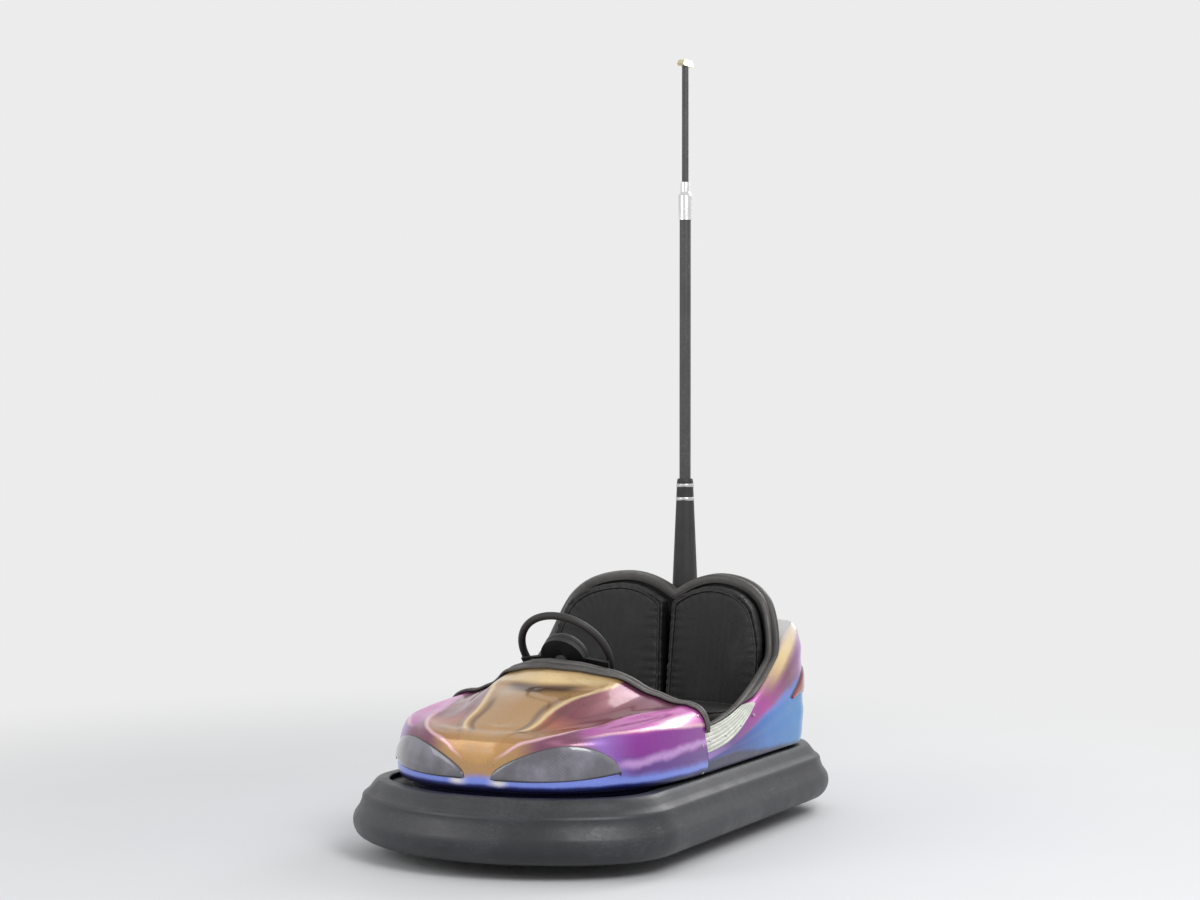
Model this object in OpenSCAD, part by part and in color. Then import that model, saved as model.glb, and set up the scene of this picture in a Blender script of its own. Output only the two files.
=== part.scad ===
// Two-seat electric bumper car with a contact pole, in millimetres.
// X points forwards, Y to the car's left and Z up, from an origin on the floor under the bumper's middle

/* [Bumper] */
// Length over the rubber
bumper_l = 1980; // [1900:5:2060]
// Width over the rubber
bumper_w = 1160; // [1120:5:1220]
// Height of its underside above the floor
bumper_z = 48; // [44:1:60]
// Height of the rubber
bumper_h = 202; // [195:1:215]
// Depth of the rubber, from its outermost line to its channel
bumper_d = 120; // [110:1:122]
// Plan radius of the nose
nose_r = 700; // [660:5:760]
// Plan radius of the front corners
nose_corner_r = 330; // [310:5:350]
// Plan radius of the tail
tail_r = 1100; // [1000:10:1200]
// Plan radius of the rear corners
tail_corner_r = 280; // [260:5:300]
// Wall of the steel channel
channel_t = 5; // [4:0.5:7]
// Width of the channel's top flange, which carries the body
channel_flange = 75; // [70:1:80]

/* [Body shells] */
// Wall of the moulded shells
shell_t = 6; // [4:0.5:8]
// How far the nose stands back from the rubber's outermost line
nose_setback = 148; // [142:1:155]
// How far the tail stands back
tail_setback = 148; // [142:1:155]
// How far the sides stand back
side_setback = 80; // [76:1:84]
// Where the front shell meets the rear one
door_x = 195; // [185:1:205]
// Middle of the cowl's edge, forward of the origin
cowl_x = 365; // [355:1:372]
// Middle of the cowl's edge, above the floor
cowl_z = 612; // [604:1:625]
// Height of the nose's upper lip
nose_z = 442; // [430:1:455]
// Height of the crests at the cockpit's front corners
crest_z = 466; // [455:1:480]
// Depth of the scoop in the bonnet
scoop_d = 30; // [10:1:34]
// Height of the sills at the door
sill_z = 390; // [380:1:398]
// Height of the deck behind the seats
deck_z = 700; // [680:1:720]
// Depth of the valley between the rear lobes
valley_d = 24; // [10:1:34]
// Width of the rubber edging round the cockpit
edging_w = 26; // [20:1:30]

/* [Lamps] */
// Lower edge of the headlamps
headlamp_z = 298; // [290:1:305]
// Height of the headlamps
headlamp_h = 114; // [100:1:118]
// Lower edge of the tail lamps
tail_lamp_z = 405; // [395:1:415]
// Height of the tail lamps
tail_lamp_h = 155; // [140:1:165]
// Thickness of a lens
lens_t = 7; // [5:0.5:10]

/* [Cockpit] */
// Height of the floor pan's upper face
pan_z = 110; // [106:1:116]
// Thickness of the floor pan
pan_t = 6; // [4:1:8]
// Front of the bench
bench_x = -120; // [-140:1:-100]
// Height of the bench
bench_z = 336; // [325:1:345]
// Thickness of the seat cushion
cushion_t = 88; // [75:1:95]
// Height of the seat humps
hump_z = 848; // [838:1:862]
// Half of the distance between the tops of the humps
hump_y = 190; // [180:1:200]
// Dip between the humps
hump_dip = 70; // [50:1:85]
// Half of the width between the footwell's walls
footwell_y = 372; // [364:1:374]

/* [Steering] */
// Diameter of the steering wheel
wheel_d = 350; // [330:1:370]
// Thickness of its grip
grip_d = 26; // [22:1:32]
// Middle of the steering wheel, forward of the origin
wheel_x = 235; // [228:1:242]
// Middle of the steering wheel, above the floor
wheel_z = 640; // [632:1:652]
// Rake of the column above the level
column_rake = 35; // [33:0.5:37]
// Diameter of the steering shaft
shaft_d = 24; // [20:1:28]

/* [Drive unit and wheels] */
// Steering axis of the drive unit, forward of the origin
drive_x = 480; // [470:1:490]
// Diameter of the drive wheel
drive_d = 240; // [230:1:244]
// Width of the drive wheel
drive_w = 84; // [76:1:88]
// Radius of the opening in which the drive unit turns
turret_r = 176; // [174:1:182]
// Diameter of the kingpin
kingpin_d = 30; // [26:1:36]
// Diameter of a rear wheel
rear_d = 160; // [150:1:166]
// Width of a rear wheel
rear_w = 50; // [44:1:56]
// Rear axle, forward of the rubber's rearmost line
rear_in = 490; // [470:1:510]
// Middle of a rear wheel from the centre line
rear_y = 360; // [350:1:366]

/* [Contact pole] */
// Height of the whole car over the contact shoe
overall_h = 2750; // [2600:5:2900]
// Pole, forward of the rubber's rearmost line
pole_in = 265; // [258:1:268]
// Diameter of the lower tube
pole_d = 42; // [38:1:46]
// Diameter of the upper rod
rod_d = 25; // [20:1:30]
// Middle of the ferrule that joins them
ferrule_z = 2230; // [2100:5:2300]
// Length of the ferrule
ferrule_l = 140; // [120:1:160]
// Length of the rubber boot
boot_l = 500; // [450:5:550]

/* [Hidden] */
$fn = 64;

// Clearance between pieces that seat on each other
seat_gap = 0.3;
// Clearance of a pin or shaft in its bore, on the radius
pin_gap = 0.1;
// Rows into which each band of a shell is split
band_rows = 2;
// Clearance under a lens or trim that lies on a curved shell
lens_gap = 0.5;
// Width of a raised crease to either side, on the front shell and on the coarser rear one
crease_w = 30;
lobe_crease_w = 42;

bumper_top = bumper_z + bumper_h;
pole_x = pole_in - bumper_l / 2;
rear_x = rear_in - bumper_l / 2;
channel_z = 70;
channel_top = bumper_top - 17;
channel_lip = 25;

// Fixed details of the running gear
shelf_z = channel_top + seat_gap;
mat_t = 4;
mat_front_x = 590;
tower_flange = 24;
tower_z = 300;
gear_r = 52;
kingpin_top = 420;
crown_z = 262;
crown_t = 12;
crown_l = 120;
fork_gap = 9;
fork_t = 10;
cheek_w = 72;
motor_d = 144;
motor_l = 84;
motor_z = 150;
hub_gap = 6;
dash_z = 430;
dash_t = 6;
dash_x = cowl_x + 7;
dash_drop = 21;
knee_r = 1800;
knee_turn = 12.5;
collar_run = 150;
collar_l = 40;
column_top = 40;
pedal_x = 400;
pedal_y = 285;
shoe_h = 22;
shoe_l = 90;
shoe_w = 26;
pad_r = 80;
spoke_turns = [100, 180, 260];

// Points and solids that several pieces share

function flat(rows) = [for (row = rows) each row];
function unit(v) = v / norm(v);
function arc(x, y, r, from, to, steps) =
  [for (i = [0:steps]) let (a = from + (to - from) * i / steps) [x + r * cos(a), y + r * sin(a)]];
function mirrored(v) = [v[0], -v[1], v[2]];
function spread(list) = [for (i = [1:len(list) - 1]) list[i]];

// A solid through a row of closed sections, joined end to end or capped
module loft(rings, closed = false) {
  count = len(rings);
  side = len(rings[0]);
  steps = closed ? count : count - 1;
  body = [for (i = [0:steps - 1], j = [0:side - 1])
    let (k = (i + 1) % count, m = (j + 1) % side)
      each [[i * side + j, i * side + m, k * side + m], [i * side + j, k * side + m, k * side + j]]];
  caps = closed ? [] : [[for (j = [side - 1:-1:0]) j], [for (j = [0:side - 1]) (count - 1) * side + j]];
  polyhedron(flat(rings), concat(body, caps), convexity = 6);
}

// A wall between two like grids of points; a folded one shares the halves of its last row
module wall(outer, inner, folded = false) {
  rows = len(outer);
  cols = len(outer[0]);
  top = rows - 1;
  end = cols - 1;
  function at(i, j, s) = s * rows * cols + i * cols + (folded && i == top ? min(j, end - j) : j);
  faces = concat(
    [for (i = [0:top - 1], j = [0:end - 1]) each [
      [at(i, j, 0), at(i + 1, j, 0), at(i + 1, j + 1, 0)],
      [at(i, j, 0), at(i + 1, j + 1, 0), at(i, j + 1, 0)],
      [at(i, j, 1), at(i + 1, j + 1, 1), at(i + 1, j, 1)],
      [at(i, j, 1), at(i, j + 1, 1), at(i + 1, j + 1, 1)]]],
    [for (j = [0:end - 1]) each [
      [at(0, j, 0), at(0, j + 1, 0), at(0, j + 1, 1)],
      [at(0, j, 0), at(0, j + 1, 1), at(0, j, 1)]]],
    folded ? [] : [for (j = [0:end - 1]) each [
      [at(top, j + 1, 0), at(top, j, 0), at(top, j, 1)],
      [at(top, j + 1, 0), at(top, j, 1), at(top, j + 1, 1)]]],
    [for (i = [0:top - 1]) each [
      [at(i + 1, 0, 0), at(i, 0, 0), at(i, 0, 1)],
      [at(i + 1, 0, 0), at(i, 0, 1), at(i + 1, 0, 1)],
      [at(i, end, 0), at(i + 1, end, 0), at(i + 1, end, 1)],
      [at(i, end, 0), at(i + 1, end, 1), at(i, end, 1)]]]);
  polyhedron(flat(concat(outer, inner)), faces, convexity = 8);
}

// Unit normals of a grid, pointing out of the body
function normals(grid, folded = false) =
  let (top = len(grid) - 1, end = len(grid[0]) - 1, mid = end / 2)
    [for (i = [0:top]) [for (j = [0:end])
      let (
        pole = folded && i == top && j == mid,
        row = pole ? i - 1 : i,
        up = row < top ? grid[row + 1][j] : folded ? grid[row - 1][end - j] : grid[row][j],
        down = grid[max(row - 1, 0)][j])
      unit(cross(grid[row][min(j + 1, end)] - grid[row][max(j - 1, 0)], up - down))]];

function shifted(grid, dirs, by) =
  [for (i = [0:len(grid) - 1]) [for (j = [0:len(grid[0]) - 1]) grid[i][j] + by * dirs[i][j]]];

// A grid with more rows: each band between two rows is split and bulges out by its own height
function finer(grid, dirs, bulges) = concat(
  [for (i = [0:len(grid) - 2], m = [0:band_rows - 1]) let (t = m / band_rows)
    [for (j = [0:len(grid[0]) - 1]) grid[i][j] + t * (grid[i + 1][j] - grid[i][j])
      + 4 * t * (1 - t) * bulges[i] * unit(dirs[i][j] + dirs[i + 1][j])]],
  [grid[len(grid) - 1]]);

// Height that a stretch of a raised crease adds at a point
function spot(c) = [c[0], c[1], c[2]];
function stretch_height(p, a, b, width) =
  let (
    start = spot(a), along = spot(b) - start,
    t = max(0, min(1, (p - start) * along / (along * along))),
    height = a[3] + t * (b[3] - a[3]))
  height * max(0, 1 - norm(p - start - t * along) / width);
// A grid raised along creases on both sides, given on the left side as lines of [x, y, z, height]
function raised(grid, dirs, lines, width) =
  [for (i = [0:len(grid) - 1]) [for (j = [0:len(grid[0]) - 1])
    let (p = grid[i][j], q = [p[0], abs(p[1]), p[2]])
    p + dirs[i][j] * max([for (line = lines, n = [0:len(line) - 2])
      stretch_height(q, line[n], line[n + 1], width)])]];

// A point part of the way between two rows of a grid
function between(grid, k, j) =
  let (row = k * band_rows, i = min(floor(row), len(grid) - 2))
  grid[i][j] + (row - i) * (grid[i + 1][j] - grid[i][j]);

// A lens or plate that lies on a shell over some of its columns, between two edges given by row
// The plate on the sill folds over an edge of the shell, two rows before its own upper edge
module onlay(grid, dirs, from, low, high, rows, thick, lift = lens_gap, fold = undef) {
  function cell(m, n) =
    let (
      j = from + n,
      under = rows - 2,
      k = is_undef(fold) ? low[n] + (high[n] - low[n]) * m / rows
        : m <= under ? low[n] + (fold - low[n]) * m / under
        : fold + (high[n] - fold) * (m - under) / 2,
      edge = m == 0 || m == rows ? 0.5 : 1)
    [between(grid, k, j), unit(between(dirs, k, j)), edge];
  cells = [for (m = [0:rows]) [for (n = [0:len(low) - 1]) cell(m, n)]];
  wall(
    [for (row = cells) [for (c = row) c[0] + (lift + thick * c[2]) * c[1]]],
    [for (row = cells) [for (c = row) c[0] + lift * c[1]]]);
}

// Rubber edging along a path, standing past the edge: dirs point out of the shell and past its edge
// and wide says how far its outer bead lies out over the shell, from 0 to 1
module edging(path, up, past, wide, gap = 1.2) {
  slim = [[-16, 0], [4, 0], [6, -0.02], [7, -0.02], [8, 0], [9, 0.06],
    [10, 0.3], [9.5, 0.72], [5, 0.98], [-14, 0.9]];
  full = [[-16, 0], [4, 0], [9, -0.8], [14, -0.7], [13, -0.25], [9.5, 0.02],
    [12, 0.3], [10.5, 0.72], [5, 0.98], [-14, 0.9]];
  loft([for (i = [0:len(path) - 1])
    [for (k = [0:len(slim) - 1]) let (p = slim[k] + wide[i] * (full[k] - slim[k]))
      path[i] + p[0] * up[i] + (gap + p[1] * edging_w) * past[i]]]);
}

// Plan of the bumper, inset from its outermost line
nose_arc_x = bumper_l / 2 - nose_r;
tail_arc_x = tail_r - bumper_l / 2;
nose_side = bumper_w / 2 - nose_corner_r;
tail_side = bumper_w / 2 - tail_corner_r;
nose_corner_x = nose_arc_x + sqrt(pow(nose_r - nose_corner_r, 2) - pow(nose_side, 2));
tail_corner_x = tail_arc_x - sqrt(pow(tail_r - tail_corner_r, 2) - pow(tail_side, 2));
nose_turn = asin(nose_side / (nose_r - nose_corner_r));
tail_turn = asin(tail_side / (tail_r - tail_corner_r));

function ring(inset) = concat(
  arc(nose_arc_x, 0, nose_r - inset, -nose_turn, nose_turn, 10),
  spread(arc(nose_corner_x, nose_side, nose_corner_r - inset, nose_turn, 90, 7)),
  arc(tail_corner_x, tail_side, tail_corner_r - inset, 90, 180 - tail_turn, 9),
  spread(arc(tail_arc_x, 0, tail_r - inset, 180 - tail_turn, 180 + tail_turn, 6)),
  spread(arc(tail_corner_x, -tail_side, tail_corner_r - inset, 180 + tail_turn, 270, 9)),
  arc(nose_corner_x, -nose_side, nose_corner_r - inset, 270, 360 - nose_turn, 7));

// A section swept round the car: each of its points is [inset, height]
module round_the_car(section) {
  lines = [for (s = section) ring(s[0])];
  loft([for (i = [0:len(lines[0]) - 2])
    [for (j = [0:len(section) - 1]) [lines[j][i][0], lines[j][i][1], section[j][1]]]], true);
}

module bumper_tyre() color([0.18, 0.18, 0.19]) {
  inner = bumper_d - seat_gap;
  belly_r = 66;
  bead_r = 20;
  bead_in = 30;
  bead_z = bumper_z + 0.7 * bumper_h;
  round_the_car(concat(
    [[inner, bumper_z]],
    [for (p = arc(-belly_r, bumper_z + belly_r, belly_r, -100, 30, 7)) [-p[0], p[1]]],
    [for (p = arc(-bead_in - bead_r, bead_z, bead_r, 0, 65, 3)) [-p[0], p[1]]],
    [[78, bumper_top - 3], [84, bumper_top], [inner, bumper_top]]));
}

module bumper_channel() color([0.3, 0.31, 0.33]) {
  out = bumper_d;
  in = bumper_d + channel_t;
  round_the_car([[in + channel_lip, channel_z], [out, channel_z], [out, channel_top],
    [in + channel_flange, channel_top], [in + channel_flange, channel_top - channel_t],
    [in, channel_top - channel_t], [in, channel_z + channel_t], [in + channel_lip, channel_z + channel_t]]);
}

module chassis_pan() color([0.24, 0.24, 0.26]) difference() {
  translate([0, 0, pan_z - pan_t]) linear_extrude(pan_t) polygon(ring(bumper_d + channel_t + 0.6));
  translate([drive_x, 0, 0]) cylinder(r = turret_r, h = 2 * pan_z);
  for (side = [-1, 1])
    translate([rear_x, side * rear_y, pan_z]) cube([rear_d + 36, rear_w + 22, 4 * pan_t], center = true);
}

// Front shell: rails that run from the right door round the nose to the left door

nose_x = bumper_l / 2 - nose_setback;
side_y = bumper_w / 2 - side_setback;
edge_z = bumper_top + 12;
front_steps = 20;
front_n = 2.5;
lamp_top_z = headlamp_z + headlamp_h;
// Each rail: x and z at the nose; x, y and z at the door or the cockpit's edge; the bulge up to the next
FRONT = [
  [nose_x - 32, channel_top, door_x, side_y - 47, channel_top, 0],
  [nose_x - 25, channel_top + 17, door_x, side_y - 42, channel_top + 17, 0],
  [nose_x, edge_z, door_x, side_y, edge_z, 2],
  [nose_x + 3, headlamp_z, door_x, side_y + 8, headlamp_z + 2, 3],
  [nose_x - 12, lamp_top_z, door_x, side_y - 5, sill_z + 2, 2],
  [nose_x - 36, lamp_top_z + 22, door_x - 26, side_y - 24, crest_z - 24, 4],
  [nose_x - 70, nose_z + 2, door_x - 35, side_y - 56, crest_z + 3, 1],
  [nose_x - 82, nose_z - 5, door_x - 34, side_y - 92, crest_z + 10, -4],
  [nose_x - 98, nose_z - 6, door_x - 14, 0.644 * side_y, crest_z + 38, -5],
  [nose_x - 112, nose_z + 1, door_x + 22, 0.5 * side_y, crest_z + 76, 2],
  [nose_x - 124, nose_z + 8, door_x + 58, 0.4 * side_y, cowl_z - 40, 0],
  [nose_x - 134, nose_z + 9, door_x + 120, 0.19 * side_y, cowl_z - 12, 0],
  [nose_x - 140, nose_z + 9, cowl_x, 0, cowl_z]];
// The scoop: deepest in the middle, fading towards the lip at the cowl and towards the nose
scoop_from = 0.05;
scoop_to = 0.66;
function scoop(k, run) =
  let (share = [1, 0.75, 0.2][len(FRONT) - 1 - k])
  is_undef(share) || run > scoop_to || run < scoop_from ? 0
    : share * scoop_d * pow(sin(180 * sqrt((run - scoop_from) / (scoop_to - scoop_from))), 2);
function front_place(k, run, out) = let (rail = FRONT[k])
  [rail[2] + (rail[0] - rail[2]) * run, rail[3] * out, rail[4] + (rail[1] - rail[4]) * run - scoop(k, run)];
function front_point(k, turn) =
  front_place(k, pow(cos(turn), 2 / front_n), sign(turn) * pow(abs(sin(turn)), 2 / front_n));
// The same rail where it passes a place forward of the origin
function front_at(k, x) =
  let (run = (x - FRONT[k][2]) / (FRONT[k][0] - FRONT[k][2]))
  front_place(k, run, pow(1 - pow(run, front_n), 1 / front_n));
front_rails = [for (k = [0:len(FRONT) - 1])
  [for (j = [-front_steps:front_steps]) front_point(k, 90 * j / front_steps)]];
front_plain = finer(front_rails, normals(front_rails, true), [for (rail = FRONT) rail[5]]);
front_plain_dirs = normals(front_plain, true);
// Raised creases of the bonnet. Each point is [rail, share of the way from the nose to the door, height]
CREASES = [
  // over the lamp, and back to the corner of the cockpit
  [[3.4, 0.02, 2], [3.9, 0.11, 5], [4.75, 0.25, 7], [6.6, 0.44, 8], [7.6, 0.7, 8], [7.2, 0.89, 7],
    [6.8, 1, 3]],
  // the shoulder under it
  [[4.5, 0.35, 2], [4.9, 0.51, 6], [4.9, 0.7, 7], [4.6, 0.9, 6], [4.5, 1, 3]],
  // either side of the spine, out to the corners of the cowl
  [[3.8, 0.04, 2], [7.4, 0.1, 5], [10, 0.4, 8], [10.4, 0.7, 9], [9.9, 0.9, 8], [9.6, 0.97, 4]],
  // the lip of the scoop
  [[9.9, 0.9, 8], [10.8, 0.94, 9], [12, 0.95, 10]]];
function on_front(k, share) =
  let (i = min(floor(k), len(FRONT) - 2), a = front_point(i, 90 * share), b = front_point(i + 1, 90 * share))
  a + (k - i) * (b - a);
front_grid = raised(front_plain, front_plain_dirs,
  [for (line = CREASES) [for (c = line) concat(on_front(c[0], c[1]), c[2])]], crease_w);
front_dirs = normals(front_grid, true);

module front_shell() color([0.72, 0.5, 0.35])
  wall(front_grid, shifted(front_grid, front_dirs, -shell_t), true);

// The headlamps' outline: lower and upper edge as shares of their band, over the columns they cover
lamp_from = 1;
lamp_to = 11;
function headlamp_share(n) = (n - lamp_from + 0.4) / (lamp_to - lamp_from + 0.5);
function headlamp_low(n) = 3 + 0.2 * pow(headlamp_share(n), 3);
function headlamp_high(n) = 3.06 + 0.9 * pow(sin(180 * pow(headlamp_share(n), 1.3)), 0.45);

module headlamp(side) color([0.45, 0.45, 0.48]) mirror([0, side, 0]) {
  onlay(front_grid, front_dirs, front_steps + lamp_from, [for (n = [lamp_from:lamp_to]) headlamp_low(n)],
    [for (n = [lamp_from:lamp_to]) headlamp_high(n)], 4, lens_t, 2 * lens_gap);
}

module headlamp_left() headlamp(0);
module headlamp_right() headlamp(1);

// Rubber along the cockpit's front edge, from sill to sill over the cowl
module cowl_trim() color([0.1, 0.1, 0.1]) {
  end = 2 * front_steps;
  top = len(FRONT) - 1;
  rows = concat([4.2], [for (k = [4.5:0.5:top]) k]);
  left = [for (k = rows) between(front_grid, k, end)];
  left_up = [for (k = rows) unit(between(front_dirs, k, end))];
  count = len(rows);
  path = concat([for (i = [0:count - 2]) mirrored(left[i])], [for (i = [count - 1:-1:0]) left[i]]);
  up = concat([for (i = [0:count - 2]) mirrored(left_up[i])], [for (i = [count - 1:-1:0]) left_up[i]]);
  last = len(path) - 1;
  past = [for (i = [0:last]) unit(cross(up[i], path[min(i + 1, last)] - path[max(i - 1, 0)]))];
  edging(path, up, past, [for (i = [0:last]) min(1, i / 4, (last - i) / 4)]);
}

// Rear shell: rails that run from the left door round the tail to the right door

tail_x = tail_setback - bumper_l / 2;
body_tail_r = 1050;
rise_x = tail_x + 202;
rise_power = 2.65;
side_steps = 12;
turn_steps = 8;
back_steps = 6;
rim_corner_r = 110;
rear_mid = side_steps + turn_steps + back_steps;
tail_lamp_top = tail_lamp_z + tail_lamp_h;
// Each rail: x and z at the tail, y and z at the door, corner radius, and the bulge up to the next
REAR = [
  [tail_x + 30, channel_top, side_y - 47, channel_top, 150, 0],
  [tail_x + 22, channel_top + 17, side_y - 42, channel_top + 17, 165, 0],
  [tail_x, edge_z, side_y, edge_z, 190, 2],
  [tail_x - 8, 320, side_y + 7, 300, 196, 2],
  [tail_x - 7, tail_lamp_z, side_y + 7, sill_z - 74, 194, 3],
  [tail_x + 6, tail_lamp_top, side_y + 3, sill_z - 58, 182, 3],
  [tail_x + 30, deck_z - 40, side_y - 6, sill_z - 32, 165, 2],
  [tail_x + 54, deck_z - 8, side_y - 24, sill_z - 6, 150, 3],
  [rise_x - 15, deck_z, side_y - 54, sill_z, rim_corner_r]];
function rise(x) = pow(max(0, min(1, (door_x - x) / (door_x - rise_x))), rise_power);
// Middle of a rail's corner, and how far the arc of its tail turns to either side
function corner_of(rail) =
  let (corner_y = rail[2] - rail[4], reach = body_tail_r - rail[4])
  [rail[0] + body_tail_r - sqrt(pow(reach, 2) - pow(corner_y, 2)), corner_y, asin(corner_y / reach)];
function rear_plan(rail, j) =
  let (corner = corner_of(rail), front_x = door_x - 0.5)
  j <= side_steps ? [front_x + (corner[0] - front_x) * j / side_steps, rail[2]]
    : j <= side_steps + turn_steps
      ? let (a = 90 + (90 - corner[2]) * (j - side_steps) / turn_steps)
        [corner[0] + rail[4] * cos(a), corner[1] + rail[4] * sin(a)]
      : let (a = 180 - corner[2] * (rear_mid - j) / back_steps)
        [rail[0] + body_tail_r + body_tail_r * cos(a), body_tail_r * sin(a)];
function valley(k, y) = k < 4 || k > 7 || abs(y) > 150 ? 0 : valley_d * pow(cos(90 * y / 150), 2);
function rear_point(k, j) =
  let (rail = REAR[k], p = rear_plan(rail, j))
  [p[0] + (j > side_steps + turn_steps ? valley(k, p[1]) : 0), p[1],
    rail[3] + (rail[1] - rail[3]) * rise(p[0])];
rear_half = [for (k = [0:len(REAR) - 1]) [for (j = [0:rear_mid]) rear_point(k, j)]];
rear_rails = [for (row = rear_half) concat(row, [for (j = [rear_mid - 1:-1:0]) mirrored(row[j])])];
rear_plain = finer(rear_rails, normals(rear_rails), [for (rail = REAR) rail[5]]);
// Raised creases of the lobes. Each point is [rail, column, height]
LOBES = [
  // round the inner end of the lamp
  [[5.5, 12, 2], [5.5, 14, 7], [5.5, 20, 8], [5.5, 22, 8], [5, 22.8, 8], [4.5, 23, 8], [4, 22.8, 8],
    [3.5, 22, 8], [3.5, 20, 7], [3.5, 16, 5], [3.5, 13, 2]],
  // over it, and down beside the valley
  [[6.5, 13, 2], [6.5, 18, 6], [6.5, 22, 7], [6, 24, 6], [5, 24.5, 4], [4, 24.5, 1]]];
function on_rear(k, j) =
  let (i = min(floor(k), len(REAR) - 2), a = rear_point(i, j), b = rear_point(i + 1, j))
  a + (k - i) * (b - a);
rear_grid = raised(rear_plain, normals(rear_plain),
  [for (line = LOBES) [for (c = line) concat(on_rear(c[0], c[1]), c[2])]], lobe_crease_w);
rear_dirs = normals(rear_grid);

module rear_shell() color([0.62, 0.45, 0.7]) difference() {
  wall(rear_grid, shifted(rear_grid, rear_dirs, -shell_t));
  translate([pole_x, 0, deck_z - 60]) cylinder(d = pole_d + 2, h = 120);
}

// A leaf lying round the corner, pointed at its front and round at its inner end
module tail_lamp(side) color([0.5, 0.08, 0.08]) mirror([0, side, 0]) {
  from = side_steps - 1;
  count = turn_steps + 2;
  half = [for (n = [0:count]) 0.04 + 0.42 * pow(n / count, 0.6) * sqrt(1 - pow(n / count, 6))];
  onlay(rear_grid, rear_dirs, from, [for (h = half) 4.5 - h], [for (h = half) 4.5 + h], 4, lens_t);
}
module tail_lamp_left() tail_lamp(0);
module tail_lamp_right() tail_lamp(1);

// Pale lip under the valley, as an upturned V with its peak in the middle
module rear_chevron() color([0.8, 0.8, 0.84]) {
  half = 4;
  peak = [for (n = [-half:half]) 1 - abs(n) / half];
  onlay(rear_grid, rear_dirs, rear_mid - half, [for (p = peak) 3.1 + 0.5 * p],
    [for (p = peak) 3.3 + 0.75 * p], 3, 9, 3);
}

// Ribbed plate that wraps the sill's edge, narrow and blunt at its rear end
plate_to = 7;
module sill_plate(side) color([0.85, 0.84, 0.78]) mirror([0, side, 0])
  onlay(rear_grid, rear_dirs, 0, [for (n = [0:plate_to]) 4.75 + 2 * pow(n / plate_to, 1.4)],
    [for (n = [0:plate_to]) 7.86], 8, 5, 1.8, 7);
module sill_plate_left() sill_plate(0);
module sill_plate_right() sill_plate(1);

// Seats and the rim round them

rim = REAR[len(REAR) - 1];
rim_y = rim[2];
rim_corner = corner_of(rim);
rim_arc_x = rim[0] + body_tail_r;
wing_x = rise_x + 150;
wing_h = 450;
wing_blend = 55;
// Height of the rim: along the sides, where it rises into the wings of the seat back
function side_top(x) = sill_z + (deck_z - sill_z) * rise(x)
  + wing_h * pow(max(0, wing_x - x) / (wing_x - rim[0]), 2);
// over the two humps, at a distance from the centre line
function hump_top(y) = hump_z - hump_dip * pow((abs(y) - hump_y) / hump_y, 2) * (abs(y) > hump_y ? 0.6 : 1);
// and the lower of the two, with a smooth turn from one to the other
function rim_top(p) =
  let (a = side_top(p[0]), b = hump_top(p[1])) (a + b - sqrt(pow(a - b, 2) + pow(wing_blend, 2))) / 2;

// The rim from the left sill over the humps to the right sill, with its directions
rim_half = [for (j = [0:0.5:rear_mid]) let (p = rear_plan(rim, j)) [p[0], p[1], rim_top(p)]];
rim_mid = 2 * rear_mid;
rim_path = concat(rim_half, [for (i = [rim_mid - 1:-1:0]) mirrored(rim_half[i])]);
rim_ahead = [for (i = [0:2 * rim_mid]) unit(rim_path[min(i + 1, 2 * rim_mid)] - rim_path[max(i - 1, 0)])];
rim_past = [for (d = rim_ahead) unit(cross([0, 0, 1], d))];
rim_up = [for (i = [0:2 * rim_mid]) cross(rim_ahead[i], rim_past[i])];

// The edging widens behind the sill plates
module rim_trim() color([0.1, 0.1, 0.1])
  edging(rim_path, rim_up, rim_past,
    [for (i = [0:2 * rim_mid]) max(0, min(1, (min(i, 2 * rim_mid - i) / 2 - plate_to) / 1.5))]);

tub_t = shell_t;
tub_gap = 2;
tub_drop = 19;
tub_front_x = rim_path[1][0];
tub_side_y = rim_y - tub_gap - 1;

// Plan of the tub, inset from the rim
module tub_plan(inset) {
  r = rim_corner_r - inset;
  turn = rim_corner[2];
  polygon(concat([[tub_front_x, inset - rim_y], [tub_front_x, rim_y - inset]],
    arc(rim_corner[0], rim_corner[1], r, 90, 180 - turn, 8),
    spread(arc(rim_arc_x, 0, body_tail_r - inset, 180 - turn, 180 + turn, 14)),
    spread(arc(rim_corner[0], -rim_corner[1], r, 180 + turn, 270, 8))));
}

module seat_tub() color([0.12, 0.12, 0.13]) {
  // Wall up to the edging
  top = [for (i = [1:2 * rim_mid - 1]) rim_path[i] - tub_drop * rim_up[i] + tub_gap * rim_past[i]];
  past = [for (i = [1:2 * rim_mid - 1]) tub_t * rim_past[i]];
  foot = [for (p = top) [p[0], p[1], shelf_z]];
  wall([foot, top], [foot + past, top + past]);
  // Footwell: walls and the shelves over the channel's flange
  for (side = [0, 1]) mirror([0, side, 0]) {
    translate([bench_x - tub_t, footwell_y, pan_z])
      cube([tub_front_x - bench_x + tub_t, tub_t, shelf_z - pan_z + tub_t]);
    translate([bench_x - tub_t, footwell_y, shelf_z])
      cube([tub_front_x - bench_x + tub_t, tub_side_y - footwell_y, tub_t]);
  }
  // Bench: riser and seat pan
  translate([bench_x - tub_t, -footwell_y - 1, pan_z]) cube([tub_t, 2 * footwell_y + 2, bench_z - pan_z]);
  translate([bench_x - tub_t, -tub_side_y, shelf_z]) cube([tub_t, 2 * tub_side_y, bench_z - shelf_z]);
  translate([0, 0, bench_z - tub_t]) linear_extrude(tub_t) intersection() {
    tub_plan(tub_gap + 1);
    translate([rim[0], -rim_y]) square([bench_x - rim[0], 2 * rim_y]);
  }
}

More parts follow.
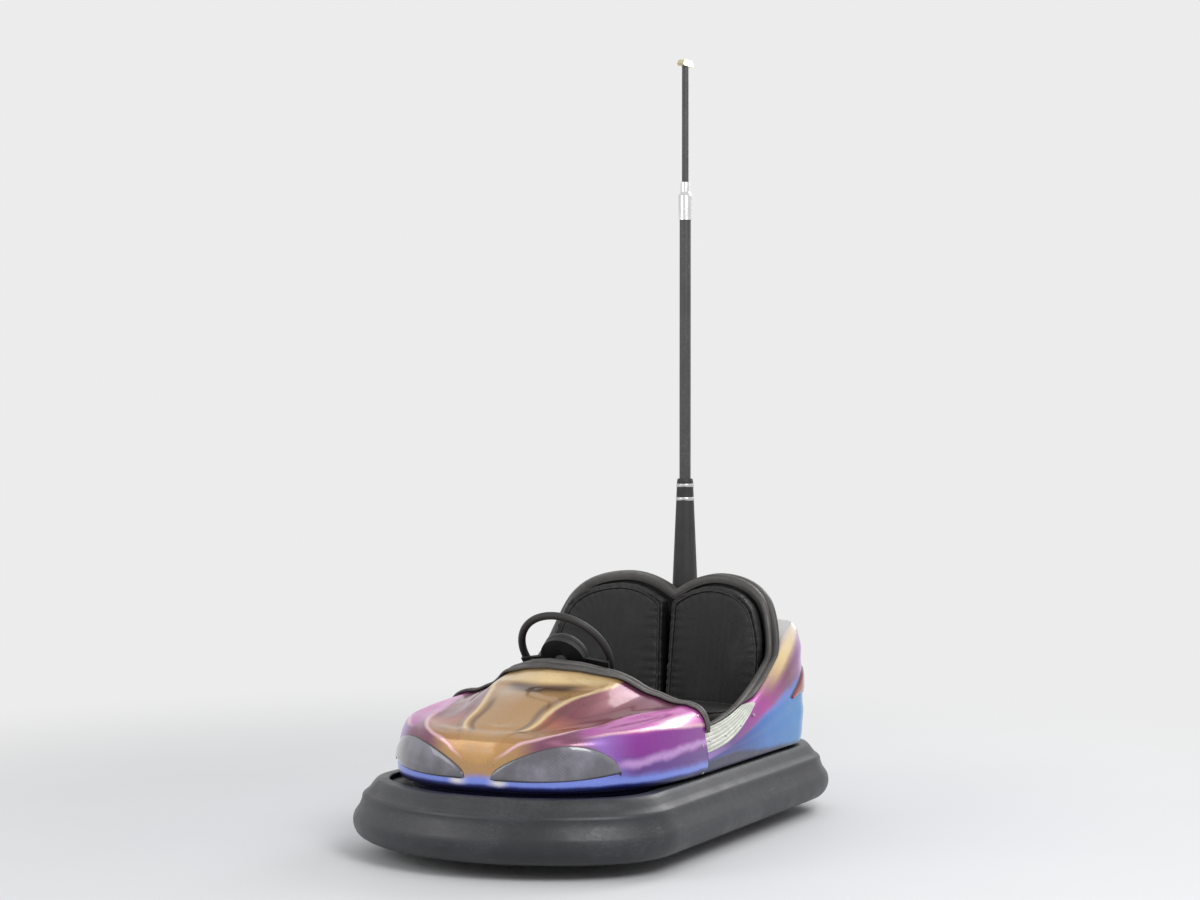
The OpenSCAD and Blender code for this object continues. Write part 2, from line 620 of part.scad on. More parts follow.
module floor_mat() color([0.15, 0.15, 0.15]) translate([0, 0, pan_z]) linear_extrude(mat_t) difference() {
  translate([bench_x + 1, -footwell_y + 1]) square([mat_front_x - bench_x, 2 * footwell_y - 2]);
  translate([drive_x, 0]) circle(turret_r + tower_flange + 6);
}

// The pads stand on the bench and reach up to the edging
pad_inset = edging_w + 4.5;
pad_out_r = body_tail_r - pad_inset;
pad_t = 84;
pad_lean = 26;
pad_in_r = pad_out_r - pad_t - pad_lean;
cushion_r = 34;

module seat_cushion() color([0.1, 0.1, 0.11]) {
  z = bench_z + seat_gap;
  top = z + cushion_t;
  front_x = bench_x - 2;
  back_x = rim_arc_x - pad_in_r;
  half = rim_y - edging_w - 5;
  intersection() {
    translate([0, half, 0]) rotate([90, 0, 0]) linear_extrude(2 * half)
      polygon(concat([[back_x, z], [front_x, z]],
        arc(front_x - cushion_r, top - cushion_r, cushion_r, 0, 90, 6), [[back_x, top - 12]]));
    translate([rim_arc_x, 0, 0]) cylinder(r = pad_in_r - 4, h = top + 1, $fn = 180);
  }
}

module back_pad(side) color([0.1, 0.1, 0.11]) mirror([0, side, 0]) {
  // Seen from behind: under the edging, and to the middle
  outline = [for (i = [2 * side_steps - 2:rim_mid]) [rim_path[i][1], rim_path[i][2]]];
  last = len(outline) - 1;
  under = [for (i = [0:last])
    let (d = unit(outline[min(i + 1, last)] - outline[max(i - 1, 0)]))
    outline[i] + (tub_drop + 2) * [-d[1], d[0]]];
  low = bench_z + seat_gap;
  intersection() {
    translate([rim[0], 0, 0]) rotate([90, 0, 90]) linear_extrude(rim_corner[0] - rim[0] + 60)
      polygon(concat([for (p = under) [max(p[0], 1), p[1]]], [[1, low], [rim_y, low]]));
    linear_extrude(hump_z) tub_plan(pad_inset);
    translate([rim_arc_x, 0, 0]) rotate_extrude($fn = 180) polygon([[pad_in_r, low], [pad_out_r, low],
      [pad_out_r, hump_z], [pad_out_r - 0.3 * pad_t, hump_z],
      [pad_out_r - 0.7 * pad_t, hump_z - 0.7 * pad_t],
      [pad_out_r - pad_t, (bench_z + hump_z) / 2]]);
  }
}
module back_pad_left() back_pad(0);
module back_pad_right() back_pad(1);

// Flat red lamps on the backs of the humps
high_lamp_w = 150;
high_lamp_h = 46;
high_lamp_t = 9;
module high_lamp(side) color([0.55, 0.05, 0.05]) mirror([0, side, 0]) {
  wall_r = body_tail_r - tub_gap;
  translate([rim_arc_x, 0, hump_z - 1.6 * high_lamp_h]) difference() {
    rotate([0, 0, 180 - asin(hump_y / wall_r)]) translate([wall_r - 6, 0, 0])
      rotate([90, 0, 90]) linear_extrude(high_lamp_t + 6) union() {
        square([high_lamp_w - high_lamp_h, high_lamp_h], center = true);
        for (end = [-1, 1]) translate([end * (high_lamp_w - high_lamp_h) / 2, 0]) circle(d = high_lamp_h);
      }
    translate([0, 0, -high_lamp_h]) cylinder(r = wall_r + 0.6, h = 2 * high_lamp_h, $fn = 360);
  }
}
module high_lamp_left() high_lamp(0);
module high_lamp_right() high_lamp(1);

// Steering: the column's own frame starts at the middle of the wheel, with Z up towards the driver

module on_column() translate([wheel_x, 0, wheel_z]) rotate([0, column_rake - 90, 0]) children();
// Length along the column from the wheel's middle down to a place forward of the origin
function column_run(x) = (x - wheel_x) / cos(column_rake);
gear_top = wheel_z - (drive_x - gear_r - wheel_x) * tan(column_rake) - 12;
boss_d = 58;
column_d = 46;
socket_run = column_run(drive_x) - 72;
shaft_end = column_run(drive_x) - 14;

// Panel under the cowl, which carries the column in a collar
module dash_panel() color([0.13, 0.13, 0.14]) {
  left = [for (k = [5:len(FRONT) - 1]) front_at(k, dash_x + dash_t) - [0, 0, dash_drop]];
  edge = concat([for (p = left) [-p[1], p[2]]], [for (i = [len(left) - 2:-1:0]) [left[i][1], left[i][2]]]);
  difference() {
    union() {
      translate([dash_x, 0, 0]) rotate([90, 0, 90]) linear_extrude(dash_t)
        polygon(concat(edge, arc(0, dash_z - knee_r, knee_r, 90 - knee_turn, 90 + knee_turn, 12)));
      on_column() translate([0, 0, -collar_run - collar_l]) cylinder(d = column_d + 12, h = collar_l);
    }
    on_column() translate([0, 0, -collar_run - collar_l - 40])
      cylinder(d = column_d + 2 * pin_gap, h = collar_l + 80);
  }
}

module steering_column() color([0.2, 0.2, 0.21]) on_column() translate([0, 0, -socket_run + seat_gap])
  difference() {
    cylinder(d = column_d, h = socket_run - seat_gap - column_top);
    translate([0, 0, -1]) cylinder(d = shaft_d + 2 * pin_gap, h = socket_run);
  }

module steering_tower() color([0.35, 0.36, 0.38]) difference() {
  union() {
    translate([drive_x, 0, 0]) rotate_extrude() polygon([
      [turret_r + 4, pan_z], [turret_r + tower_flange, pan_z], [turret_r + tower_flange, pan_z + 6],
      [turret_r + 9, pan_z + 6], [turret_r + 9, tower_z - 16], [turret_r - 8, tower_z],
      [gear_r, tower_z + 18], [gear_r, gear_top], [gear_r - 8, gear_top + 8], [0, gear_top + 8],
      [0, tower_z - 8], [turret_r - 12, tower_z - 8], [turret_r + 4, tower_z - 20]]);
    on_column() translate([0, 0, -column_run(drive_x) + 8]) cylinder(d = boss_d, h = 72 - 8);
  }
  translate([drive_x, 0, 0]) cylinder(d = kingpin_d + 2 * pin_gap, h = kingpin_top + 4);
  on_column() translate([0, 0, -shaft_end - 3]) cylinder(d = shaft_d + 2 * pin_gap, h = 90);
}

module pedal() color([0.3, 0.3, 0.3]) translate([pedal_x, -pedal_y, pan_z + mat_t]) {
  translate([0, -45, 0]) cube([50, 90, 10]);
  translate([12, -40, 8]) rotate([0, -24, 0]) cube([130, 80, 9]);
}

// Contact pole

socket_d = pole_d + 22;
socket_h = 90;
boot_r = pole_d / 2 + 39;
module on_pole(z) translate([pole_x, 0, z]) children();
module pole_base() color([0.3, 0.31, 0.33]) on_pole(pan_z) difference() {
  union() {
    cylinder(d = socket_d + 76, h = 8);
    cylinder(d = socket_d, h = socket_h);
  }
  translate([0, 0, -1]) cylinder(d = pole_d + 2 * pin_gap, h = socket_h + 2);
}
module pole_boot() color([0.09, 0.09, 0.09]) on_pole(deck_z + seat_gap) rotate_extrude() polygon([
  [pole_d / 2 + pin_gap, 0], [boot_r, 0], [boot_r, 8], [boot_r - 6, 14], [boot_r - 10, 24],
  [pole_d / 2 + 9, boot_l - 10],
  [pole_d / 2 + 7, boot_l], [pole_d / 2 + pin_gap, boot_l]]);
module pole_tube() color([0.3, 0.3, 0.31]) on_pole(pan_z + seat_gap)
  cylinder(d = pole_d, h = ferrule_z - pan_z - seat_gap);
module pole_ferrule() color([0.8, 0.8, 0.8]) on_pole(ferrule_z - ferrule_l / 2) difference() {
  rotate_extrude() polygon([[0, 0], [pole_d / 2 + 4, 0], [pole_d / 2 + 4, ferrule_l / 2 + 20],
    [rod_d / 2 + 5, ferrule_l / 2 + 34], [rod_d / 2 + 5, ferrule_l], [0, ferrule_l]]);
  translate([0, 0, -1]) cylinder(d = pole_d + 2 * pin_gap, h = ferrule_l / 2 + 1 + seat_gap);
  translate([0, 0, -1]) cylinder(d = rod_d + 2 * pin_gap, h = ferrule_l + 2);
}
module pole_rod() color([0.45, 0.45, 0.46]) on_pole(ferrule_z + seat_gap)
  cylinder(d = rod_d, h = overall_h - shoe_h - ferrule_z - seat_gap);
module contact_shoe() color([0.75, 0.72, 0.6]) on_pole(overall_h - shoe_h) translate([0, shoe_w / 2, 0])
  rotate([90, 0, 0]) linear_extrude(shoe_w) polygon([[-shoe_l / 2 + 6, 0], [shoe_l / 2 - 6, 0],
    [shoe_l / 2, 8], [shoe_l / 2 - 14, shoe_h], [14 - shoe_l / 2, shoe_h], [-shoe_l / 2, 8]]);

// Wheels and drive unit

drive_r = drive_d / 2;
rear_r = rear_d / 2;
fork_y = drive_w / 2 + fork_gap;
axle_d = 20;

module drive_fork() color([0.3, 0.32, 0.35]) translate([drive_x, 0, 0]) {
  translate([-crown_l / 2, -fork_y - fork_t, crown_z]) cube([crown_l, 2 * (fork_y + fork_t), crown_t]);
  for (side = [0, 1]) mirror([0, side, 0]) {
    translate([-cheek_w / 2, fork_y, drive_r]) cube([cheek_w, fork_t, crown_z - drive_r + 1]);
    translate([0, fork_y, drive_r]) rotate([-90, 0, 0]) cylinder(d = cheek_w, h = fork_t);
  }
  translate([0, fork_y + 1, drive_r]) rotate([90, 0, 0]) cylinder(d = axle_d, h = 2 * fork_y + 2);
  translate([0, 0, crown_z]) cylinder(d = kingpin_d, h = kingpin_top - crown_z);
  translate([0, 0, crown_z]) cylinder(d = kingpin_d + 24, h = tower_z - 8 - 5 - crown_z);
}
module drive_motor() color([0.25, 0.27, 0.3]) translate([drive_x, fork_y + fork_t, motor_z])
  rotate([-90, 0, 0]) cylinder(d = motor_d, h = motor_l);

// A hub with a bore, and the tyre on it, with their axis along Y
module hub(d, w, bore) rotate([90, 0, 0]) translate([0, 0, -w / 2]) difference() {
  rotate_extrude() polygon([[0, -3], [bore / 2 + 14, -3], [bore / 2 + 14, 8], [d / 2 - 10, 8],
    [d / 2 - 10, 2], [d / 2, 2], [d / 2, w - 2], [d / 2 - 10, w - 2], [d / 2 - 10, w - 8],
    [bore / 2 + 14, w - 8], [bore / 2 + 14, w + 3], [0, w + 3]]);
  translate([0, 0, -5]) cylinder(d = bore, h = w + 10);
}
module tyre(d, w, inside) rotate([90, 0, 0]) translate([0, 0, -w / 2]) rotate_extrude() polygon([
  [inside / 2, 2], [d / 2 - 10, 0], [d / 2 - 3, 3], [d / 2, 10], [d / 2, w - 10], [d / 2 - 3, w - 3],
  [d / 2 - 10, w], [inside / 2, w - 2]]);

drive_rim_d = drive_d - 88;
rear_rim_d = rear_d - 56;
module drive_hub() color([0.5, 0.5, 0.52]) translate([drive_x, 0, drive_r])
  hub(drive_rim_d, drive_w, axle_d + 2 * pin_gap);
module drive_tyre() color([0.1, 0.1, 0.1]) translate([drive_x, 0, drive_r])
  tyre(drive_d, drive_w, drive_rim_d);
module at_rear(side) translate([rear_x, side * rear_y, rear_r]) children();
module rear_hub_left() color([0.5, 0.5, 0.52]) at_rear(1) hub(rear_rim_d, rear_w, axle_d + 2 * pin_gap);
module rear_hub_right() color([0.5, 0.5, 0.52]) at_rear(-1) hub(rear_rim_d, rear_w, axle_d + 2 * pin_gap);
module rear_tyre_left() color([0.1, 0.1, 0.1]) at_rear(1) tyre(rear_d, rear_w, rear_rim_d);
module rear_tyre_right() color([0.1, 0.1, 0.1]) at_rear(-1) tyre(rear_d, rear_w, rear_rim_d);

module rear_axle() color([0.3, 0.31, 0.33]) {
  inner = rear_y - rear_w / 2 - 3 - hub_gap;
  outer = rear_y + rear_w / 2 + 3 + hub_gap;
  block_z = pan_z - pan_t;
  translate([rear_x, 0, rear_r]) rotate([90, 0, 0]) cylinder(d = axle_d + 12, h = 2 * inner, center = true);
  translate([rear_x, 0, rear_r]) rotate([90, 0, 0]) cylinder(d = axle_d, h = 2 * outer + 2, center = true);
  for (side = [-1, 1]) {
    translate([rear_x, side * (outer + 4), rear_r]) rotate([90, 0, 0])
      cylinder(d = axle_d + 12, h = 8, center = true);
    translate([rear_x - 32, side * (inner - 30) - 14, rear_r - 24]) cube([64, 28, block_z - rear_r + 24]);
  }
}

// Steering wheel: rim with three spokes, hub pad and shaft

rim_r = (wheel_d - grip_d) / 2;
module steering_rim() color([0.1, 0.1, 0.1]) on_column() {
  rotate_extrude() translate([rim_r, 0]) circle(d = grip_d);
  difference() {
    union() {
      for (a = spoke_turns) rotate(a) translate([0, -17, -26]) cube([rim_r, 34, 9]);
      translate([0, 0, -30]) cylinder(r = pad_r, h = 18);
      for (a = spoke_turns) rotate(a) translate([rim_r - 3, -17, -26]) cube([6, 34, 26]);
    }
    translate([0, 0, -40]) cylinder(d = shaft_d + 2 * pin_gap, h = 60);
  }
}
module steering_hub_pad() color([0.12, 0.12, 0.12]) on_column() translate([0, 0, -12 + seat_gap])
  rotate_extrude() polygon([[0, 0], [pad_r, 0], [pad_r, 20], [pad_r - 12, 30], [0, 34]]);
module steering_shaft() color([0.6, 0.6, 0.62]) on_column() translate([0, 0, -shaft_end])
  cylinder(d = shaft_d, h = shaft_end - 12);

chassis_pan();
bumper_channel();
bumper_tyre();
front_shell();
rear_shell();
seat_tub();
floor_mat();
seat_cushion();
back_pad_left();
back_pad_right();
sill_plate_left();
sill_plate_right();
cowl_trim();
rim_trim();
headlamp_left();
headlamp_right();
tail_lamp_left();
tail_lamp_right();
high_lamp_left();
high_lamp_right();
rear_chevron();
dash_panel();
steering_column();
steering_tower();
pedal();
pole_base();
pole_boot();
pole_tube();
pole_ferrule();
pole_rod();
contact_shoe();
rear_axle();
drive_fork();
drive_motor();
drive_hub();
drive_tyre();
rear_hub_left();
rear_tyre_left();
rear_hub_right();
rear_tyre_right();
steering_rim();
steering_hub_pad();
steering_shaft();
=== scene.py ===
import math
import bpy
import numpy as np
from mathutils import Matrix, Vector
from mathutils.bvhtree import BVHTree
from mathutils.kdtree import KDTree


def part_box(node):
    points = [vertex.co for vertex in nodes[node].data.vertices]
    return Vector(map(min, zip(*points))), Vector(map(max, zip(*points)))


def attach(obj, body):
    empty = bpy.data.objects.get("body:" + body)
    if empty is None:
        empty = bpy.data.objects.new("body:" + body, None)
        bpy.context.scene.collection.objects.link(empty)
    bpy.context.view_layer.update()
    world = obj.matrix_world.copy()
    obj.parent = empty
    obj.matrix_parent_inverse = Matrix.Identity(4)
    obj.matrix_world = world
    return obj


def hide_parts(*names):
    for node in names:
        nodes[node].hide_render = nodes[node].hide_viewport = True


# Two-seat bumper car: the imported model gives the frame, this script gives it its looks. Metres throughout.
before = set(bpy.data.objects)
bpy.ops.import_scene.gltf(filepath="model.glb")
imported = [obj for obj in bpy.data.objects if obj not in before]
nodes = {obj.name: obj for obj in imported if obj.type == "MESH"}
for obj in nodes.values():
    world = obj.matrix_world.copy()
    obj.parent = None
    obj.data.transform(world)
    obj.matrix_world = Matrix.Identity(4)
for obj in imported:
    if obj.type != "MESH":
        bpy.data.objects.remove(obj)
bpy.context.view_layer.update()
print("frame loaded with", len(nodes), "nodes")

scene = bpy.context.scene
mirror = np.array((1.0, -1.0, 1.0))
sides = (("left", 1.0), ("right", -1.0))


# Small helpers for objects and meshes

def unit(v):
    return v / max(np.linalg.norm(v), 1e-9)


def eased(t):
    # From 0 to 1, slow at both ends
    return 0.5 - 0.5 * math.cos(math.pi * t)


def addObject(name, data):
    thing = bpy.data.objects.new(name, data)
    scene.collection.objects.link(thing)
    return thing


def aimed(name, data, place, target):
    # A camera or a lamp that looks at its target
    thing = addObject(name, data)
    thing.location = place
    thing.rotation_euler = (Vector(target) - Vector(place)).to_track_quat("-Z", "Y").to_euler()
    return thing


def pickOnly(piece):
    bpy.ops.object.select_all(action="DESELECT")
    piece.select_set(True)
    bpy.context.view_layer.objects.active = piece


def applyModifiers(piece):
    pickOnly(piece)
    for modifier in list(piece.modifiers):
        bpy.ops.object.modifier_apply(modifier=modifier.name)


def smooth(piece, angle):
    pickOnly(piece)
    bpy.ops.object.shade_smooth_by_angle(angle=math.radians(angle))


def editAll(piece, *edits):
    pickOnly(piece)
    bpy.ops.object.mode_set(mode="EDIT")
    bpy.ops.mesh.select_all(action="SELECT")
    for edit in edits:
        edit()
    bpy.ops.object.mode_set(mode="OBJECT")


def fixNormals(piece):
    editAll(piece, lambda: bpy.ops.mesh.remove_doubles(threshold=0.00002),
            lambda: bpy.ops.mesh.normals_make_consistent(inside=False))


def finished(piece, angle):
    fixNormals(piece)
    smooth(piece, angle)
    return piece


def addModifier(piece, kind, **values):
    modifier = piece.modifiers.new(kind.title(), kind)
    for key, value in values.items():
        setattr(modifier, key, value)
    return modifier


def meshPiece(name, points, faces):
    mesh = bpy.data.meshes.new(name)
    mesh.from_pydata([tuple(p) for p in points], [], faces)
    mesh.update()
    return addObject(name, mesh)


def spotsOf(piece, kind="vertices", value="co"):
    out = np.empty(3 * len(piece.data.vertices))
    getattr(piece.data, kind).foreach_get(value, out)
    return out.reshape(-1, 3)


def moveTo(piece, spots):
    piece.data.vertices.foreach_set("co", spots.ravel())
    piece.data.update()


def dress(piece, material, body="car", replaced=()):
    # A shell already has its two materials, so it is given none here
    if material:
        piece.data.materials.clear()
        piece.data.materials.append(material)
    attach(piece, body)
    if replaced:
        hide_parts(*replaced)
    return piece


def gridPiece(name, grid, closedRows=False, closedCols=False, folded=False, capped=False):
    # A sheet through a grid of points, with its rows and columns in the UV map
    rows, cols = len(grid), len(grid[0])
    points = [p for row in grid for p in row]
    top = rows - 1

    def at(i, j):
        i, j = i % rows, j % cols
        return i * cols + (min(j, cols - 1 - j) if folded and i == top else j)

    faces, corners = [], []
    for i in range(rows if closedRows else rows - 1):
        for j in range(cols if closedCols else cols - 1):
            quad = [(i, j), (i, j + 1), (i + 1, j + 1), (i + 1, j)]
            face = [at(*c) for c in quad]
            if len(set(face)) < 3:
                continue
            seen = []
            for c, f in zip(quad, face):
                if f not in [s[1] for s in seen]:
                    seen.append((c, f))
            faces.append([f for c, f in seen])
            corners.extend([c for c, f in seen])
    if capped:
        for i, turn in ((0, 1), (top, -1)):
            ring = [(i, j) for j in range(cols)][::turn]
            faces.append([at(*c) for c in ring])
            corners.extend(ring)
    piece = meshPiece(name, points, faces)
    uv = piece.data.uv_layers.new(name="rails")
    for loop, (i, j) in zip(uv.data, corners):
        loop.uv = (j / (cols if closedCols else cols - 1), i / (rows if closedRows else rows - 1))
    if folded:
        editAll(piece, bpy.ops.mesh.delete_loose)
    return piece


def gridNormals(grid, folded=False):
    rows, cols = grid.shape[:2]
    out = np.zeros_like(grid)
    for i in range(rows):
        for j in range(cols):
            row = i - 1 if folded and i == rows - 1 and 2 * j == cols - 1 else i
            if row < rows - 1:
                up = grid[row + 1, j]
            else:
                up = grid[row - 1, cols - 1 - j] if folded else grid[row, j]
            along = grid[row, min(j + 1, cols - 1)] - grid[row, max(j - 1, 0)]
            out[i, j] = unit(np.cross(along, up - grid[max(row - 1, 0), j]))
    return out


def finerGrid(grid, dirs, bulges, split):
    # Each band between two rows is split and bulges out by its own height
    out = []
    for i in range(len(grid) - 1):
        way = dirs[i] + dirs[i + 1]
        way /= np.linalg.norm(way, axis=1)[:, None]
        for m in range(split):
            t = m / split
            out.append(grid[i] * (1 - t) + grid[i + 1] * t + 4 * t * (1 - t) * bulges[i] * way)
    out.append(grid[-1])
    return np.array(out)


def onGrid(grid, row, col):
    # A place between the rows and columns of a grid
    i = int(min(max(math.floor(row), 0), len(grid) - 2))
    j = int(min(max(math.floor(col), 0), len(grid[0]) - 2))
    a, b = row - i, col - j
    return (grid[i][j] * (1 - a) * (1 - b) + grid[i + 1][j] * a * (1 - b)
            + grid[i][j + 1] * (1 - a) * b + grid[i + 1][j + 1] * a * b)


def smoothPath(points, per):
    # A path through the points with more of them in between
    out = []
    for i in range(len(points) - 1):
        a, b, c, d = (points[min(max(n, 0), len(points) - 1)] for n in range(i - 1, i + 3))
        for m in range(per):
            t = m / per
            out.append(0.5 * (2 * b + (c - a) * t + (2 * a - 5 * b + 4 * c - d) * t ** 2
                              + (3 * b - a - 3 * c + d) * t ** 3))
    out.append(points[-1])
    return np.array(out)


def evenPath(points, spacing, closed=False):
    # The same path with points at an even spacing
    points = np.array(points)
    around = np.vstack([points, points[:1]]) if closed else points
    runs = np.concatenate([[0.0], np.cumsum(np.linalg.norm(np.diff(around, axis=0), axis=1))])
    at = np.linspace(0.0, runs[-1], int(runs[-1] / spacing) + 1)
    path = np.stack([np.interp(at, runs, around[:, k]) for k in range(3)], axis=1)
    return path[:-1] if closed else path


def easedLoop(loop, times):
    for _ in range(times):
        loop = (np.roll(loop, 1, axis=0) + 2 * loop + np.roll(loop, -1, axis=0)) / 4
    return loop


def tube(name, path, radius, angle, sides=8):
    # A round tube along a closed path
    grid, up = [], np.array((0.0, 0.0, 1.0))
    turns = [2 * math.pi * k / sides for k in range(sides)]
    for i, place in enumerate(path):
        ahead = unit(path[(i + 1) % len(path)] - path[i - 1])
        if abs(np.dot(ahead, up)) > 0.95:
            up = unit(np.array((0.3, 0.9, 0.1)))
        up = unit(up - np.dot(up, ahead) * ahead)
        side = np.cross(ahead, up)
        grid.append([place + radius * math.cos(t) * up + radius * math.sin(t) * side for t in turns])
    return finished(gridPiece(name, np.array(grid), closedRows=True, closedCols=True), angle)


def tubeFaces(start, rings, sides):
    # The faces of a short closed tube whose rings of points are numbered from start
    faces = []
    for m in range(rings - 1):
        for k in range(sides):
            a, b = start + sides * m + k, start + sides * m + (k + 1) % sides
            faces.append((a, b, b + sides, a + sides))
    end = start + sides * (rings - 1)
    return faces + [[start + k for k in range(sides - 1, -1, -1)], [end + k for k in range(sides)]]


# Materials: node helpers first

def objectPlace(tree):
    return addNode(tree, "ShaderNodeTexCoord").outputs["Object"]


def startMaterial(name):
    material = bpy.data.materials.new(name)
    material.use_nodes = True
    tree = material.node_tree
    shader = next(n for n in tree.nodes if n.type == "BSDF_PRINCIPLED")
    return material, tree, shader, objectPlace(tree)


def feed(tree, node, key, value):
    if isinstance(value, bpy.types.NodeSocket):
        tree.links.new(value, node.inputs[key])
    else:
        node.inputs[key].default_value = value


def feedAll(tree, node, inputs):
    for key, value in inputs.items():
        feed(tree, node, key, value)
    return node


def addNode(tree, kind, inputs=None, **settings):
    node = tree.nodes.new(kind)
    for key, value in settings.items():
        setattr(node, key, value)
    return feedAll(tree, node, inputs or {})


def sums(tree, operation, a, b=0.0, clamp=False):
    return addNode(tree, "ShaderNodeMath", {0: a, 1: b}, operation=operation, use_clamp=clamp).outputs[0]


def total(tree, a, b):
    return sums(tree, "ADD", a, b)


def product(tree, first, *others):
    for other in others:
        first = sums(tree, "MULTIPLY", first, other)
    return first


def step(tree, value, low, high, toLow=0.0, toHigh=1.0):
    # Eases from one value to another; low may lie above high
    inputs = {"Value": value, "From Min": low, "From Max": high, "To Min": toLow, "To Max": toHigh}
    return addNode(tree, "ShaderNodeMapRange", inputs, interpolation_type="SMOOTHSTEP").outputs["Result"]


def along(tree, value, middle, width):
    # 1 on a line, fading to 0 at its width
    return step(tree, sums(tree, "ABSOLUTE", sums(tree, "SUBTRACT", value, middle)), width, 0.0)


def blendColors(tree, mask, a, b, mode="MIX"):
    a, b = (value if isinstance(value, bpy.types.NodeSocket) else (*value, 1.0) for value in (a, b))
    return addNode(tree, "ShaderNodeMix", {0: mask, 6: a, 7: b}, data_type="RGBA", blend_type=mode,
                   clamp_factor=True).outputs[2]


def blendValues(tree, mask, a, b):
    inputs = {0: mask, 2: a, 3: b}
    return addNode(tree, "ShaderNodeMix", inputs, data_type="FLOAT", clamp_factor=True).outputs[0]


def coated(tree, color, coats):
    # Lays each (mask, colour) over the ones before it
    for mask, coat in coats:
        color = blendColors(tree, mask, color, coat)
    return color


def ramp(tree, value, stops):
    # Each stop is a place from 0 to 1 and the name of a paint
    node = addNode(tree, "ShaderNodeValToRGB", {"Fac": value})
    elements = node.color_ramp.elements
    while len(elements) < len(stops):
        elements.new(0.5)
    for element, (place, name) in zip(elements, stops):
        element.position = place
        element.color = (*paint[name], 1.0)
    return node.outputs["Color"]


def parts(tree, vector):
    return addNode(tree, "ShaderNodeSeparateXYZ", {"Vector": vector}).outputs


def attribute(tree, name):
    return parts(tree, addNode(tree, "ShaderNodeAttribute", attribute_name=name).outputs["Vector"])


def railsOf(tree):
    # The columns and rows of a grid, from 0 to 1
    return parts(tree, addNode(tree, "ShaderNodeUVMap", uv_map="rails").outputs[0])


def noiseAt(tree, place, scale, detail=4.0, rough=0.55, stretch=None):
    if stretch:
        place = addNode(tree, "ShaderNodeMapping", {"Vector": place, "Scale": stretch}).outputs[0]
    return addNode(tree, "ShaderNodeTexNoise", {"Vector": place, "Scale": scale, "Detail": detail,
                                                "Roughness": rough}).outputs["Fac"]


def bump(tree, shader, height, distance, strength):
    node = addNode(tree, "ShaderNodeBump", {"Height": height, "Distance": distance, "Strength": strength})
    feed(tree, shader, "Normal", node.outputs[0])
    return node


def startGroup(name, result, **values):
    # A group with numbers as inputs and one result
    group = bpy.data.node_groups.new(name, "ShaderNodeTree")
    for label, value in values.items():
        socket = group.interface.new_socket(name=label, in_out="INPUT", socket_type="NodeSocketFloat")
        socket.default_value = value
    group.interface.new_socket(name=result, in_out="OUTPUT", socket_type="NodeSocketFloat")
    given, end = group.nodes.new("NodeGroupInput").outputs, group.nodes.new("NodeGroupOutput")
    return group, given, end, objectPlace(group)


def useGroup(tree, group, **inputs):
    return addNode(tree, "ShaderNodeGroup", inputs, node_tree=group).outputs[0]


# Scratches: thin lines in two directions, broken up by a slow noise
scratchGroup, given, end, place = startGroup("scratches", "Mask", Scale=6.0, Amount=0.5)
tree = scratchGroup
masks = []
for turn, stretch in (((0.2, 0.1, 0.3), (1.0, 14.0, 14.0)), ((0.5, 0.9, -0.4), (14.0, 1.2, 16.0))):
    turned = addNode(tree, "ShaderNodeMapping", {"Vector": place, "Rotation": turn, "Scale": stretch})
    masks.append(along(tree, noiseAt(tree, turned.outputs[0], given["Scale"], 3.0, 0.5), 0.5, 0.006))
limit = sums(tree, "SUBTRACT", 0.72, product(tree, given["Amount"], 0.3))
kept = step(tree, noiseAt(tree, place, 5.0, 3.0), limit, total(tree, limit, 0.08))
feed(tree, end, "Mask", product(tree, sums(tree, "MAXIMUM", *masks), kept))

# Dust: lies on what faces up, in soft patches
dustGroup, given, end, place = startGroup("dust", "Mask", Amount=0.3, Scale=3.0)
tree = dustGroup
facing = parts(tree, addNode(tree, "ShaderNodeNewGeometry").outputs["Normal"])["Z"]
cloud = step(tree, noiseAt(tree, place, given["Scale"], 5.0, 0.5), 0.35, 0.75)
speck = step(tree, noiseAt(tree, place, 90.0, 3.0, 0.7), 0.3, 0.65)
feed(tree, end, "Mask", product(tree, cloud, speck, step(tree, facing, 0.05, 0.9), given["Amount"]))

# Worn edges: where a rounded normal departs from the face's own
wearGroup, given, end, place = startGroup("wornEdges", "Mask", Amount=0.6)
tree = wearGroup
rounded = addNode(tree, "ShaderNodeBevel", {"Radius": 0.004}, samples=4).outputs[0]
facing = addNode(tree, "ShaderNodeNewGeometry").outputs["Normal"]
same = addNode(tree, "ShaderNodeVectorMath", {0: rounded, 1: facing}, operation="DOT_PRODUCT")
chips = step(tree, noiseAt(tree, place, 38.0, 5.0, 0.65), 0.38, 0.6)
edges = step(tree, same.outputs["Value"], 0.985, 0.86)
feed(tree, end, "Mask", product(tree, edges, chips, given["Amount"]))

# Moulded grain: fine pebbles, given as a height
grainGroup, given, end, place = startGroup("mouldedGrain", "Height", Scale=700.0)
tree = grainGroup
cells = addNode(tree, "ShaderNodeTexVoronoi", {"Vector": place, "Scale": given["Scale"]}, feature="SMOOTH_F1")
slow = noiseAt(tree, place, product(tree, given["Scale"], 0.3), 3.0, 0.5)
feed(tree, end, "Height", total(tree, cells.outputs["Distance"], product(tree, slow, 0.8)))


